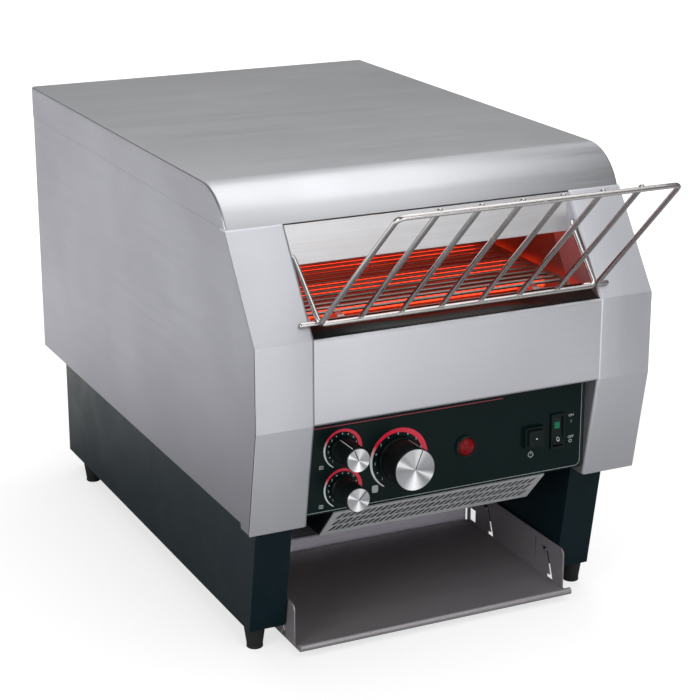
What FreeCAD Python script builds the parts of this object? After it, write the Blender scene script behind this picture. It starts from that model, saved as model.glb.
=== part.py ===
import FreeCAD, Part
import math
import os

import Sketcher

# Conveyor toaster in millimetres. +X is the user's right, +Y runs to the back, +Z is up.
# Pieces are drawn with y = 0 on the front panel's face and z = 0 on the bench, and each one is
# then placed so that the origin lies under the middle of the whole machine.

# Counts of repeated pieces
BELT_TEETH = 12
BELT_STRAIGHT_PITCHES = 31
CHAIN_TEETH = 16
ELEMENTS = 5
RACK_WIRES = 6
LOUVRE_ROWS = 6
CHUTE_SLOTS = 12
SCREW_ROWS = 3
GUARD_ROWS = 3
GUARD_COLUMNS = 32
RELAYS = 3
TERMINALS = 3
FAN_BLADES = 7
FAN_FLOOR_SLOTS = 9

SIZES = (
    # Outer shell, whose front is stacked up from the control panel's lower edge
    ("body_width", 368.0),
    ("bezel_width", 50.16),
    ("sheet", 1.2),
    ("panel_bottom_height", 135.8),
    ("panel_face", 84.4),
    ("front_face", 71.0),
    ("slope_rise", 81.9),
    ("hood_rise", 30.8),
    ("hood_edge_back", 57.4),
    ("hood_lip_angle", 65.0),
    ("hood_bend_share", 1.6234),
    ("hood_seam", 1.0),
    ("toe_back", 17.5),
    ("toe_drop", 8.9),
    ("toe_step", 4.8),
    ("side_inset", 0.6),
    ("side_seam", 1.4),
    ("side_tab_length", 18.5),
    ("bezel_return", 50.0),
    ("front_panel_gap", 0.35),
    ("front_panel_top_return", 9.0),
    ("front_panel_low_return", 11.0),
    ("shield_set_back", 0.6),
    ("shield_drop", 35.6),
    ("shield_hem", 8.0),
    ("rear_space", 19.6),
    ("rear_inset", 1.2),
    ("overrun", 5.0),
    ("cover_gap", 0.2),
    ("running_gap", 0.3),
    ("shaft_gap", 0.05),
    # Louvres in the rear cover
    ("louvre_length", 62.0),
    ("louvre_height", 5.0),
    ("louvre_pitch", 16.0),
    ("louvre_across", 60.0),
    ("louvre_rise", 117.0),
    # Base pods, feet and pan
    ("pod_set_in", 16.0),
    ("pod_wall", 1.5),
    ("pod_bottom_height", 20.0),
    ("pod_front_top_back", 38.9),
    ("pod_front_rake", 19.6),
    ("pod_rear_gap", 1.4),
    ("foot_set_in", 9.5),
    ("foot_front_gap", 11.5),
    ("foot_rear_gap", 46.6),
    ("foot_top_radius", 9.3),
    ("foot_tip_radius", 7.2),
    ("foot_rim", 2.5),
    ("pan_front_gap", 33.0),
    ("pan_window_gap", 2.0),
    ("pan_window_rise", 28.0),
    # Crumb tray
    ("crumb_set_in", 13.84),
    ("crumb_front_gap", 40.0),
    ("crumb_wall_height", 18.0),
    ("crumb_face_overlap", 8.0),
    ("crumb_face_rise", 32.0),
    ("crumb_lip", 9.0),
    # Collecting tray
    ("tray_side_gap", 0.34),
    ("tray_floor_height", 6.2),
    ("tray_front_back", 43.0),
    ("tray_lip_reach", 14.6),
    ("tray_lip_radius", 3.0),
    ("tray_length", 177.0),
    ("tray_flange_height", 38.4),
    ("tray_corner_radius", 6.0),
    ("tray_slit", 3.8),
    ("tray_hook", 8.0),
    ("tray_slot_run", 9.0),
    ("tray_slot_drop_share", 0.638),
    ("tray_slot_margin", 10.6),
    ("tray_front_slot_gap", 28.0),
    ("tray_rear_slot_gap", 40.0),
    ("tray_slit_gap", 19.0),
    ("tray_slit_rise", 2.3),
    ("tray_slit_margin", 5.6),
    ("tray_window_gap", 5.0),
    ("tray_window_length", 11.5),
    ("tray_window_rise", 2.8),
    ("tray_window_height", 13.0),
    ("tray_pin_radius", 1.5),
    ("tray_pin_reach", 3.4),
    # Return chute
    ("chute_front_gap", 9.0),
    ("chute_low_height", 17.0),
    ("chute_drop_space", 141.9),
    ("chute_wall_rise", 54.0),
    ("chute_bend_radius", 60.0),
    ("chute_slot_width", 5.0),
    ("chute_slot_length", 22.0),
    ("chute_slot_margin", 13.84),
    # Heated chamber
    ("wall_top_drop", 1.2),
    ("reflector_drop", 9.9),
    ("reflector_front_gap", 30.0),
    ("reflector_rear_gap", 31.0),
    ("lower_reflector_drop", 10.0),
    ("element_radius", 4.0),
    ("element_first_gap", 54.0),
    ("element_pitch", 62.0),
    ("element_drop", 12.0),
    ("lower_element_rise", 5.0),
    ("element_overhang", 14.0),
    ("insulator_radius", 7.0),
    ("insulator_flange_radius", 9.0),
    ("insulator_flange", 3.0),
    # Conveyor
    ("belt_axis_back", 46.0),
    ("belt_drop", 15.2),
    ("belt_radius", 22.0),
    ("belt_rod_radius", 1.5),
    ("belt_side_gap", 12.84),
    ("belt_band_width", 2.5),
    ("belt_band_height", 6.0),
    ("belt_wheel_set_in", 29.0),
    ("belt_wheel_width", 6.0),
    ("wheel_rim", 0.5),
    ("shaft_radius", 6.0),
    ("bearing_radius", 9.0),
    ("bearing_flange_radius", 12.0),
    ("bearing_flange", 2.5),
    ("shaft_overhang", 4.0),
    # Drive
    ("chain_radius", 16.0),
    ("chain_reach_share", 1.16),
    ("chain_roller_radius", 1.6),
    ("chain_inner_width", 3.2),
    ("chain_plate", 0.9),
    ("chain_plate_height", 5.2),
    ("hub_radius", 9.0),
    ("hub_length", 6.0),
    ("output_shaft_radius", 4.0),
    ("output_shaft_depth", 12.0),
    ("gear_axis_rise", 32.95),
    ("gearbox_length", 54.0),
    ("gearbox_depth", 50.0),
    ("gearbox_height", 44.0),
    ("motor_radius", 24.0),
    ("motor_length", 58.0),
    ("motor_cap_radius", 9.0),
    ("motor_cap_length", 6.0),
    ("shaft_port_radius", 7.0),
    # Control box
    ("panel_back", 16.0),
    ("panel_sheet", 1.5),
    ("panel_right_gap", 5.84),
    ("panel_left_gap", 0.6),
    ("panel_top_gap", 1.7),
    ("box_side_gap", 0.84),
    ("box_floor_drop", 0.8),
    ("sump_set_in", 31.0),
    ("sump_length", 110.0),
    ("sump_drop", 38.4),
    ("guard_set_back", 15.0),
    ("guard_top_drop", 6.8),
    ("guard_run", 29.0),
    ("guard_sheet", 1.0),
    ("guard_margin", 3.6),
    ("guard_strand", 1.1),
    ("guard_lean_share", 0.9),
    # Knobs and their shafts
    ("small_knob_left_gap", 33.5),
    ("bottom_knob_rise", 19.4),
    ("color_knob_left_gap", 85.0),
    ("color_knob_rise", 36.9),
    ("knob_gap", 0.5),
    ("small_knob_radius", 11.2),
    ("small_cap_radius", 10.0),
    ("large_knob_radius", 19.4),
    ("large_cap_radius", 17.8),
    ("knob_depth", 28.6),
    ("knob_cap", 1.4),
    ("knob_taper_share", 0.95),
    ("knob_shoulder", 3.0),
    ("index_width", 1.0),
    ("stem_radius", 3.0),
    ("stem_set_back", 4.6),
    ("stem_hole_gap", 0.6),
    ("switch_side", 30.0),
    ("switch_spacing", 4.4),
    ("switch_depth", 27.0),
    ("pot_radius", 12.0),
    ("pot_depth", 16.0),
    # Lamp, button and rocker switch
    ("lamp_across", 14.5),
    ("lamp_rise", 37.1),
    ("lamp_radius", 8.9),
    ("lamp_dome", 4.5),
    ("lamp_collar", 1.3),
    ("lamp_collar_radius", 10.2),
    ("lamp_body_radius", 7.0),
    ("lamp_body_depth", 26.0),
    ("button_right_gap", 53.74),
    ("button_rise", 35.5),
    ("button_side", 14.2),
    ("button_frame_edge", 1.05),
    ("button_frame_proud", 4.0),
    ("button_proud", 3.2),
    ("button_length", 16.0),
    ("button_travel", 3.0),
    ("rocker_right_gap", 29.34),
    ("rocker_rise", 36.6),
    ("rocker_width", 9.6),
    ("rocker_length", 24.6),
    ("rocker_side_gap", 0.25),
    ("rocker_end_gap", 1.3),
    ("rocker_frame_edge", 0.8),
    ("rocker_frame_end", 1.5),
    ("rocker_frame_proud", 2.0),
    ("rocker_face_depth", 5.0),
    ("rocker_dip", 1.8),
    ("rocker_back_depth", 4.5),
    ("rocker_back_share", 0.62),
    ("rocker_pivot_depth", 3.0),
    ("rocker_pin_radius", 1.2),
    ("rocker_tilt", 8.0),
    ("body_behind", 24.0),
    ("housing_wall", 0.9),
    # Electrical parts inside
    ("board_left_gap", 15.0),
    ("board_width", 106.0),
    ("board_low_gap", 7.0),
    ("board_top_gap", 12.2),
    ("board_sheet", 1.6),
    ("board_standoff", 7.0),
    ("board_standoff_radius", 2.6),
    ("relay_width", 22.0),
    ("relay_depth", 16.0),
    ("relay_height", 28.0),
    ("block_width", 24.0),
    ("block_rear_gap", 38.6),
    ("block_length", 56.0),
    ("block_height", 20.0),
    ("fan_left_gap", 12.0),
    ("fan_side", 80.0),
    ("fan_rim", 2.5),
    ("fan_tip_gap", 1.5),
    ("fan_depth", 25.0),
    ("fan_hub_radius", 17.0),
    ("fan_blade_width", 19.0),
    ("fan_blade_sheet", 1.6),
    ("fan_blade_angle", 38.0),
    ("fan_pin_radius", 3.0),
    ("fan_arm_width", 5.0),
    ("fan_arm_height", 3.0),
    ("fan_floor_slot_width", 4.5),
    ("gland_rise", 28.3),
    ("gland_radius", 9.0),
    ("gland_nut_radius", 13.0),
    ("gland_nut_length", 7.0),
    ("gland_reach", 10.5),
    ("gland_inside", 14.0),
    ("gland_bore_radius", 4.6),
    # Feed rack
    ("wire_radius", 2.25),
    ("rack_side_gap", 6.34),
    ("rack_stand_off", 8.13),
    ("rack_low_rise", 12.6),
    ("rack_run", 122.5),
    ("rack_rise", 113.4),
    ("rack_taper", 5.6),
    ("rack_stub_reach", 9.86),
    ("rack_stub_inside", 10.0),
    ("rack_stub_back", 4.3),
    ("rack_hook_gap", 3.84),
    ("rack_hook_share", 0.7057),
    ("rack_hook_depth", 6.49),
    ("rack_wire_tip", 2.5),
    ("rack_weld_share", 0.45),
    ("rack_pivot_reach", 3.0),
    # Fasteners
    ("screw_head_radius", 3.6),
    ("screw_head", 2.2),
    ("screw_radius", 1.9),
    ("screw_length", 7.0),
    ("screw_set_in", 12.0),
    ("screw_rise", 13.0),
    ("screw_pitch", 112.0),
)

# Places and sizes that follow from the ones above, so that the pieces keep together
WORKED_OUT = (
    # Widths
    ("mouth_half", "body_width / 2 - bezel_width"),
    ("pod_half", "body_width / 2 - pod_set_in"),
    ("foot_across", "pod_half - foot_set_in"),
    ("screw_across", "body_width / 2 - screw_set_in"),
    ("side_bay_middle", "(mouth_half + sheet + body_width / 2 - side_inset) / 2"),
    ("crumb_half", "mouth_half - crumb_set_in"),
    ("crumb_face_half", "crumb_half + crumb_face_overlap"),
    ("pan_window_half", "crumb_half + pan_window_gap"),
    ("tray_half", "mouth_half - tray_side_gap"),
    ("chute_slot_pitch", f"(mouth_half - chute_slot_margin) * 2 / {CHUTE_SLOTS}"),
    ("belt_half", "mouth_half - belt_side_gap"),
    ("belt_wheel_across", "belt_half - belt_wheel_set_in"),
    ("bearing_face", "mouth_half + 2 * sheet + bearing_flange"),
    ("chain_across", "bearing_face + running_gap + hub_length + chain_inner_width / 2"),
    ("panel_right", "mouth_half - panel_right_gap"),
    ("box_half", "mouth_half - box_side_gap"),
    ("sump_half", "box_half - sump_set_in"),
    ("small_knob_across", "small_knob_left_gap - mouth_half"),
    ("color_knob_across", "color_knob_left_gap - mouth_half"),
    ("button_across", "mouth_half - button_right_gap"),
    ("rocker_across", "mouth_half - rocker_right_gap"),
    ("board_left", "board_left_gap - box_half"),
    ("board_right", "board_left + board_width"),
    ("fan_across", "fan_side / 2 + fan_left_gap - sump_half"),
    ("rack_low_half", "mouth_half - rack_side_gap"),
    ("rack_top_half", "rack_low_half - rack_taper"),
    ("rack_stub_half", "mouth_half + rack_stub_reach"),
    ("rack_hook_half", "mouth_half - rack_hook_gap"),
    # Heights
    ("knee_low_height", "panel_bottom_height + panel_face"),
    ("knee_top_height", "knee_low_height + front_face"),
    ("hood_edge_height", "knee_top_height + slope_rise"),
    ("body_top", "hood_edge_height + hood_rise"),
    ("hood_bend_radius", "hood_rise * hood_bend_share"),
    ("toe_height", "panel_bottom_height - toe_drop"),
    ("side_bottom_height", "toe_height + toe_step"),
    ("louvre_lowest", "side_bottom_height + louvre_rise"),
    ("screw_low_height", "side_bottom_height + screw_rise"),
    ("gland_height", "side_bottom_height + gland_rise"),
    ("pan_window_height", "pod_bottom_height + pan_window_rise"),
    ("crumb_face_height", "pod_bottom_height + crumb_face_rise"),
    ("wall_top_height", "hood_edge_height - wall_top_drop"),
    ("shield_height", "hood_edge_height - shield_drop"),
    ("upper_reflector_height", "wall_top_height - reflector_drop"),
    ("upper_element_height", "upper_reflector_height - element_drop"),
    ("belt_axis_height", "knee_top_height - belt_drop"),
    ("lower_element_height", "belt_axis_height + lower_element_rise"),
    ("lower_reflector_height", "belt_axis_height - lower_reflector_drop"),
    ("chute_top_height", "belt_axis_height + chute_wall_rise"),
    ("panel_top_height", "knee_low_height - panel_top_gap"),
    ("box_floor_height", "panel_bottom_height - box_floor_drop"),
    ("sump_height", "box_floor_height - sump_drop"),
    ("guard_top_height", "box_floor_height - guard_top_drop"),
    ("gear_axis_height", "box_floor_height + gear_axis_rise"),
    ("bottom_knob_height", "panel_bottom_height + bottom_knob_rise"),
    ("top_knob_height", "bottom_knob_height + switch_side + switch_spacing"),
    ("color_knob_height", "panel_bottom_height + color_knob_rise"),
    ("lamp_height", "panel_bottom_height + lamp_rise"),
    ("button_height", "panel_bottom_height + button_rise"),
    ("rocker_height", "panel_bottom_height + rocker_rise"),
    ("board_low_height", "box_floor_height + board_low_gap"),
    ("board_top_height", "knee_low_height - board_top_gap"),
    ("rack_low_height", "knee_top_height + rack_low_rise"),
    ("rack_top_height", "rack_low_height + rack_rise"),
    ("rack_hook_height", "knee_top_height + rack_hook_share * slope_rise"),
    ("tray_slot_drop", "tray_flange_height * tray_slot_drop_share"),
    ("tray_slot_top_height", "tray_floor_height + tray_flange_height - tray_slot_margin"),
    ("tray_slit_low_height", "tray_floor_height + tray_slit_rise"),
    ("tray_slit_top_height", "tray_floor_height + tray_flange_height - tray_slit_margin"),
    ("tray_window_low_height", "tray_floor_height + tray_window_rise"),
    ("tray_window_top_height", "tray_window_low_height + tray_window_height"),
    # Depths
    ("belt_pitch", f"2 * pi * belt_radius / {BELT_TEETH}"),
    ("idler_back", f"belt_axis_back + {BELT_STRAIGHT_PITCHES} * belt_pitch"),
    ("chute_wall_back", "idler_back + chute_drop_space"),
    ("body_depth", "chute_wall_back + rear_space"),
    ("pod_rear_back", "chute_wall_back - pod_rear_gap"),
    ("pod_front_low_back", "pod_front_top_back + pod_front_rake"),
    ("foot_front_back", "pod_front_low_back + foot_front_gap"),
    ("foot_rear_back", "pod_rear_back - foot_rear_gap"),
    ("side_tab_back", "toe_back + side_tab_length"),
    ("shield_back", "hood_edge_back + shield_set_back"),
    ("tray_lip_front", "tray_front_back - tray_lip_reach"),
    ("tray_rear_back", "tray_front_back + tray_length"),
    ("tray_front_slot_back", "tray_front_back + tray_front_slot_gap"),
    ("tray_rear_slot_back", "tray_rear_back - tray_rear_slot_gap"),
    ("tray_slit_back", "tray_front_slot_back + tray_slit_gap"),
    ("tray_window_back", "tray_rear_back - tray_window_gap - tray_window_length"),
    ("chute_low_back", "tray_rear_back + chute_front_gap"),
    ("pan_front_back", "chute_low_back + pan_front_gap"),
    ("crumb_front_back", "pan_front_back + crumb_front_gap"),
    ("lower_reflector_front", "belt_axis_back + reflector_front_gap"),
    ("lower_reflector_rear", "idler_back - reflector_rear_gap"),
    ("element_first_back", "belt_axis_back + element_first_gap"),
    ("guard_top_back", "panel_back + guard_set_back"),
    ("guard_low_back", "guard_top_back + guard_run"),
    ("box_rear_back", "guard_low_back + sump_length"),
    ("fan_back", "guard_low_back + sump_length / 2"),
    ("knob_front", "panel_back - knob_depth"),
    ("stem_front", "knob_front + stem_set_back"),
    ("rocker_pivot_back", "panel_back + rocker_pivot_depth"),
    ("block_back", "body_depth - block_rear_gap - block_length"),
    ("rack_low_front", "hood_edge_back * rack_low_rise / slope_rise - rack_stand_off"),
    ("rack_top_front", "rack_low_front - rack_run"),
    ("rack_hook_back", "rack_hook_share * hood_edge_back + rack_hook_depth"),
    # Housings round what moves in them, and the fan
    ("button_body_side", "button_side + 2 * (cover_gap + housing_wall)"),
    ("button_frame_side", "button_body_side + 2 * button_frame_edge"),
    ("rocker_body_width", "rocker_width + 2 * (rocker_side_gap + housing_wall)"),
    ("rocker_body_height", "rocker_length + 2 * (rocker_end_gap + housing_wall)"),
    ("rocker_frame_width", "rocker_body_width + 2 * rocker_frame_edge"),
    ("rocker_frame_height", "rocker_body_height + 2 * rocker_frame_end"),
    ("fan_bore_radius", "fan_side / 2 - fan_rim"),
    ("fan_blade_radius", "fan_bore_radius - fan_tip_gap"),
    # The chain has as many pitches as it takes to reach down to the gearbox at a slant
    ("chain_pitch", f"2 * pi * chain_radius / {CHAIN_TEETH}"),
    ("chain_drop", "belt_axis_height - gear_axis_height"),
    ("chain_straight_pitches", "ceil(chain_drop * chain_reach_share / chain_pitch)"),
    ("chain_angle", "-asin(chain_drop / (chain_straight_pitches * chain_pitch)) / 1deg"),
)

doc = FreeCAD.newDocument("conveyor_toaster")
sheet = doc.addObject("Spreadsheet::Sheet", "Sizes")
cells = [(alias, str(amount)) for alias, amount in SIZES]
cells += [(alias, "=" + rule) for alias, rule in WORKED_OUT]
for row, (alias, content) in enumerate(cells, start=1):
    sheet.set(f"A{row}", alias)
    sheet.set(f"B{row}", content)
    sheet.setAlias(f"B{row}", alias)
doc.recompute()


class Size:
    """A number from the sheet, or one worked out from such numbers, kept with its formula."""

    def __init__(self, value, formula):
        self.value = value
        self.formula = formula

    def __float__(self):
        return float(self.value)

    def __add__(self, other):
        return Size(float(self) + float(other), f"({self.formula} + {formula_of(other)})")

    def __radd__(self, other):
        return Size(float(other) + float(self), f"({formula_of(other)} + {self.formula})")

    def __sub__(self, other):
        return Size(float(self) - float(other), f"({self.formula} - {formula_of(other)})")

    def __rsub__(self, other):
        return Size(float(other) - float(self), f"({formula_of(other)} - {self.formula})")

    def __mul__(self, other):
        return Size(float(self) * float(other), f"({self.formula} * {formula_of(other)})")

    __rmul__ = __mul__

    def __truediv__(self, other):
        return Size(float(self) / float(other), f"({self.formula} / {formula_of(other)})")

    def __neg__(self):
        return Size(-float(self), f"(-{self.formula})")


def formula_of(amount):
    """The formula of a size, or a plain number as text."""
    return amount.formula if isinstance(amount, Size) else f"{float(amount):.9g}"


def sine(angle):
    """The sine of a size in degrees."""
    return Size(math.sin(math.radians(float(angle))), f"sin({formula_of(angle)})")


def cosine(angle):
    """The cosine of a size in degrees."""
    return Size(math.cos(math.radians(float(angle))), f"cos({formula_of(angle)})")


def root(amount):
    """The square root of a size."""
    return Size(math.sqrt(float(amount)), f"sqrt({formula_of(amount)})")


class Book:
    """Gives each size of the sheet by its name."""

    def __getattr__(self, alias):
        return Size(float(sheet.get(alias)), "Sizes." + alias)


s = Book()
nodes = {}


def vec(x, y, z):
    """A vector of three sizes or numbers."""
    return FreeCAD.Vector(float(x), float(y), float(z))


def bind(obj, prop, amount):
    """Sets a property and ties it to the amount's formula."""
    if isinstance(amount, Size):
        obj.setExpression(prop, amount.formula)
    elif "." in prop:
        obj.setExpression(prop, f"{float(amount):.9g}")
    else:
        setattr(obj, prop, float(amount))


def place(obj, x=0, y=0, z=0):
    """Ties an object's position to three sizes."""
    bind(obj, "Placement.Base.x", x)
    bind(obj, "Placement.Base.y", y)
    bind(obj, "Placement.Base.z", z)
    return obj


def box(name, low, high):
    """A block between two corners."""
    obj = doc.addObject("Part::Box", name)
    bind(obj, "Length", high[0] - low[0])
    bind(obj, "Width", high[1] - low[1])
    bind(obj, "Height", high[2] - low[2])
    return place(obj, *low)


def turned(obj, angle):
    """Turns an object about its own X axis by an angle tied to its size."""
    obj.Placement = FreeCAD.Placement(FreeCAD.Vector(), FreeCAD.Rotation(FreeCAD.Vector(1, 0, 0), 1))
    bind(obj, "Placement.Rotation.Angle", angle)
    return obj


TURNS = {
    "x": FreeCAD.Rotation(FreeCAD.Vector(0, 1, 0), 90),
    "y": FreeCAD.Rotation(FreeCAD.Vector(1, 0, 0), -90),
    "z": FreeCAD.Rotation(),
}


def rod(name, axis, start, length, radius, end_radius=None):
    """A round bar, or a cone when it has an end radius, from a start point along an axis."""
    kind = "Part::Cylinder" if end_radius is None else "Part::Cone"
    obj = doc.addObject(kind, name)
    if end_radius is None:
        bind(obj, "Radius", radius)
    else:
        bind(obj, "Radius1", radius)
        bind(obj, "Radius2", end_radius)
    bind(obj, "Height", length)
    obj.Placement = FreeCAD.Placement(FreeCAD.Vector(), TURNS[axis])
    return place(obj, *start)


def joined(name, parts):
    """One solid made of touching parts."""
    obj = doc.addObject("Part::MultiFuse", name)
    obj.Shapes = parts
    return obj


def cut(name, base, tools):
    """A base with one or more tools taken away."""
    obj = doc.addObject("Part::Cut", name)
    obj.Base = base
    obj.Tool = tools[0] if len(tools) == 1 else joined(name + "_tools", tools)
    return obj


def group(name, parts):
    """Separate solids kept together."""
    obj = doc.addObject("Part::Compound", name)
    obj.Links = parts
    return obj


def mirrored(name, source):
    """The same piece on the other side of the middle."""
    obj = doc.addObject("Part::Mirroring", name)
    obj.Source = source
    obj.Normal = FreeCAD.Vector(1, 0, 0)
    return obj


def shaped(name, shape):
    """A piece whose shape is worked out here, because no feature makes it."""
    obj = doc.addObject("Part::Feature", name)
    obj.Shape = shape
    return obj


def ring(across, up, radius):
    """A round loop of a sketch."""
    return ("ring", across, up, radius)


def rectangle(left, right, low, high):
    """A rectangular loop of a sketch."""
    return [(left, low), (right, low), (right, high), (left, high)]


class Blank:
    """A PartDesign body built up from sketches on its own planes."""

    def __init__(self, name):
        self.body = doc.addObject("PartDesign::Body", name)
        self.count = 0

    def sketch(self, plane, offset, loops):
        """A sketch whose every corner is tied to its sizes."""
        self.count += 1
        sk = self.body.newObject("Sketcher::SketchObject", f"{self.body.Name}_sketch_{self.count}")
        support = [f for f in self.body.Origin.OriginFeatures if f.Role == plane][0]
        sk.AttachmentSupport = [(support, "")]
        sk.MapMode = "FlatFace"
        bind(sk, "AttachmentOffset.Base.z", offset)
        for loop in loops:
            if loop[0] == "ring":
                self.add_ring(sk, loop)
            else:
                self.add_polygon(sk, loop)
        return sk

    def add_ring(self, sk, loop):
        """A circle with its centre and radius tied to their sizes."""
        across, up, radius = loop[1:]
        circle = Part.Circle(vec(across, up, 0), FreeCAD.Vector(0, 0, 1), float(radius))
        geo = sk.addGeometry(circle, False)
        self.pin(sk, geo, 3, across, up)
        index = sk.addConstraint(Sketcher.Constraint("Radius", geo, float(radius)))
        bind(sk, f".Constraints[{index}]", radius)

    def add_polygon(self, sk, corners):
        """A closed row of lines with each corner tied to its sizes."""
        first = None
        last = None
        for (a, b) in zip(corners, corners[1:] + corners[:1]):
            geo = sk.addGeometry(Part.LineSegment(vec(a[0], a[1], 0), vec(b[0], b[1], 0)), False)
            if last is None:
                first = geo
            else:
                sk.addConstraint(Sketcher.Constraint("Coincident", last, 2, geo, 1))
            self.pin(sk, geo, 1, a[0], a[1])
            last = geo
        sk.addConstraint(Sketcher.Constraint("Coincident", last, 2, first, 1))

    def pin(self, sk, geo, point, across, up):
        """Ties a sketch point to its distances from the origin."""
        for kind, axis, amount in (("DistanceX", -2, across), ("DistanceY", -1, up)):
            if isinstance(amount, Size):
                index = sk.addConstraint(Sketcher.Constraint(kind, -1, 1, geo, point, float(amount)))
                bind(sk, f".Constraints[{index}]", amount)
            else:
                sk.addConstraint(Sketcher.Constraint("PointOnObject", geo, point, axis))

    def feature(self, kind, plane, start, end, loops):
        """A pad or pocket between two places along the plane's axis."""
        backwards = (plane == "XZ_Plane") != (kind == "PartDesign::Pocket")
        edge = end if backwards else start
        sk = self.sketch(plane, -edge if plane == "XZ_Plane" else edge, loops)
        feat = self.body.newObject(kind, f"{self.body.Name}_step_{self.count}")
        feat.Profile = sk
        bind(feat, "Length", end - start)
        return feat

    def pad(self, plane, start, end, *loops):
        """Adds material."""
        self.feature("PartDesign::Pad", plane, start, end, loops)
        return self

    def pocket(self, plane, start, end, *loops):
        """Takes material away, and makes sure that it did."""
        doc.recompute()
        before = self.body.Shape.Volume
        self.feature("PartDesign::Pocket", plane, start, end, loops)
        doc.recompute()
        if not self.body.Shape.Volume < before:
            raise RuntimeError(f"a pocket of {self.body.Name} cuts nothing")
        return self

    def round(self, radius, axis, *places):
        """Rounds the straight edges that run along an axis through the given places."""
        doc.recompute()
        direction = {"x": 0, "y": 1, "z": 2}[axis]
        others = [i for i in range(3) if i != direction]
        picked = []
        for index, edge in enumerate(self.body.Shape.Edges, start=1):
            if len(edge.Vertexes) < 2:
                continue
            a, b = edge.Vertexes[0].Point, edge.Vertexes[-1].Point
            for spot in places:
                misses = [abs(p[i] - float(v)) for p in (a, b) for i, v in zip(others, spot)]
                if max(misses) < 0.01:
                    picked.append(f"Edge{index}")
        if not picked:
            raise RuntimeError(f"no edge to round on {self.body.Name}")
        base = self.body.Tip
        self.count += 1
        feat = self.body.newObject("PartDesign::Fillet", f"{self.body.Name}_round_{self.count}")
        feat.Base = (base, sorted(set(picked)))
        bind(feat, "Radius", radius)
        return self

    def around(self, times):
        """Repeats the last feature about the body's X axis."""
        last = self.body.Tip
        feat = self.body.newObject("PartDesign::PolarPattern", f"{self.body.Name}_ring")
        feat.Originals = [last]
        feat.Axis = ([f for f in self.body.Origin.OriginFeatures if f.Role == "X_Axis"][0], [""])
        feat.Angle = 360
        feat.Occurrences = times
        self.body.Tip = feat
        return self


# The origin lies midway between the rack's outermost wire tip and the cord gland's outer end.
weld = 2 * s.wire_radius * s.rack_weld_share
rack_length = root(s.rack_run * s.rack_run + s.rack_rise * s.rack_rise)
rack_tip_reach = (s.rack_wire_tip * s.rack_run - weld * s.rack_rise) / rack_length
rack_reach = s.wire_radius - s.rack_top_front + rack_tip_reach
rear_reach = s.body_depth - s.rear_inset + s.gland_reach
origin_back = (rear_reach - rack_reach) / 2


def node(name, obj, x=0, y=0, z=0):
    """Names a finished piece and moves it to the machine's own origin."""
    obj.Label = name
    place(obj, x, y - origin_back, z)
    nodes[name] = obj
    return obj


def mirror_node(name, source):
    """Names the other side's copy of a piece that is already placed."""
    obj = mirrored(name + "_piece", source)
    obj.Label = name
    nodes[name] = obj


# Shared places
half = s.body_width / 2
side_face = half - s.side_inset
side_inner = side_face - s.sheet
frame_half = s.mouth_half + s.sheet
wall_outer = frame_half + s.sheet
panel_half = s.mouth_half - s.front_panel_gap
bezel_top = s.hood_edge_height - s.hood_seam
lip_run = (s.body_top - s.hood_edge_height) * cosine(s.hood_lip_angle) / sine(s.hood_lip_angle)
lip_shift = s.sheet / sine(s.hood_lip_angle)
plate_top = s.side_bottom_height + s.sheet
rear_face = s.body_depth - s.rear_inset
rear_inner = rear_face - s.sheet


def slope_back(height):
    """How far back the upper front slope lies at a height."""
    rise = s.hood_edge_height - s.knee_top_height
    return s.hood_edge_back * (height - s.knee_top_height) / rise


def front_line(shift, top):
    """The front outline from a top height down to the toe, moved back by a shift."""
    return [
        (slope_back(top) + shift, top),
        (shift, s.knee_top_height),
        (shift, s.knee_low_height),
        (s.toe_back + shift, s.toe_height),
    ]


def strip(shift, depth, top):
    """A band that follows the front outline."""
    return front_line(shift, top) + front_line(shift + depth, top)[::-1]


# Hood
corner_back = s.hood_edge_back + lip_run
inner_top = s.body_top - s.sheet
inner_edge_back = s.hood_edge_back + lip_shift
inner_corner_back = corner_back + lip_shift - s.sheet * cosine(s.hood_lip_angle) / sine(s.hood_lip_angle)
below_edge = s.hood_edge_height - s.overrun
below_back = inner_edge_back - s.overrun * cosine(s.hood_lip_angle) / sine(s.hood_lip_angle)
hood = Blank("hood")
hood.pad("YZ_Plane", -half, half, [
    (s.body_depth, s.hood_edge_height),
    (s.body_depth, s.body_top),
    (corner_back, s.body_top),
    (s.hood_edge_back, s.hood_edge_height),
])
hood.pocket("YZ_Plane", s.sheet - half, half - s.sheet, [
    (s.body_depth + s.overrun, below_edge),
    (s.body_depth + s.overrun, inner_top),
    (inner_corner_back, inner_top),
    (below_back, below_edge),
])
hood.round(s.hood_bend_radius - s.sheet, "x", (inner_corner_back, inner_top))
hood.round(s.hood_bend_radius, "x", (corner_back, s.body_top))
node("hood_cover", hood.body)

# Side panels
side_top = s.hood_edge_height - s.running_gap
side_shift = s.sheet + s.side_seam
side = Blank("side")
side.pad("YZ_Plane", -side_face, -side_inner, front_line(side_shift, side_top) + [
    (s.side_tab_back, s.toe_height),
    (s.side_tab_back, s.side_bottom_height),
    (s.body_depth, s.side_bottom_height),
    (s.body_depth, side_top),
])
mirror_node("side_panel_right", node("side_panel_left", side.body))

# Front bezels with their inner returns
bezel = Blank("bezel")
bezel.pad("YZ_Plane", -half, -s.mouth_half, strip(0, s.sheet, bezel_top))
bezel.pad("YZ_Plane", -frame_half, -s.mouth_half, strip(0, s.bezel_return, bezel_top))
bezel.pocket("YZ_Plane", -frame_half - s.overrun, s.overrun - s.mouth_half,
             ring(s.rack_hook_back, s.rack_hook_height, s.wire_radius + s.shaft_gap),
             ring(s.belt_axis_back, s.belt_axis_height, s.bearing_radius + s.running_gap))
mirror_node("bezel_right", node("bezel_left", bezel.body))

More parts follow.
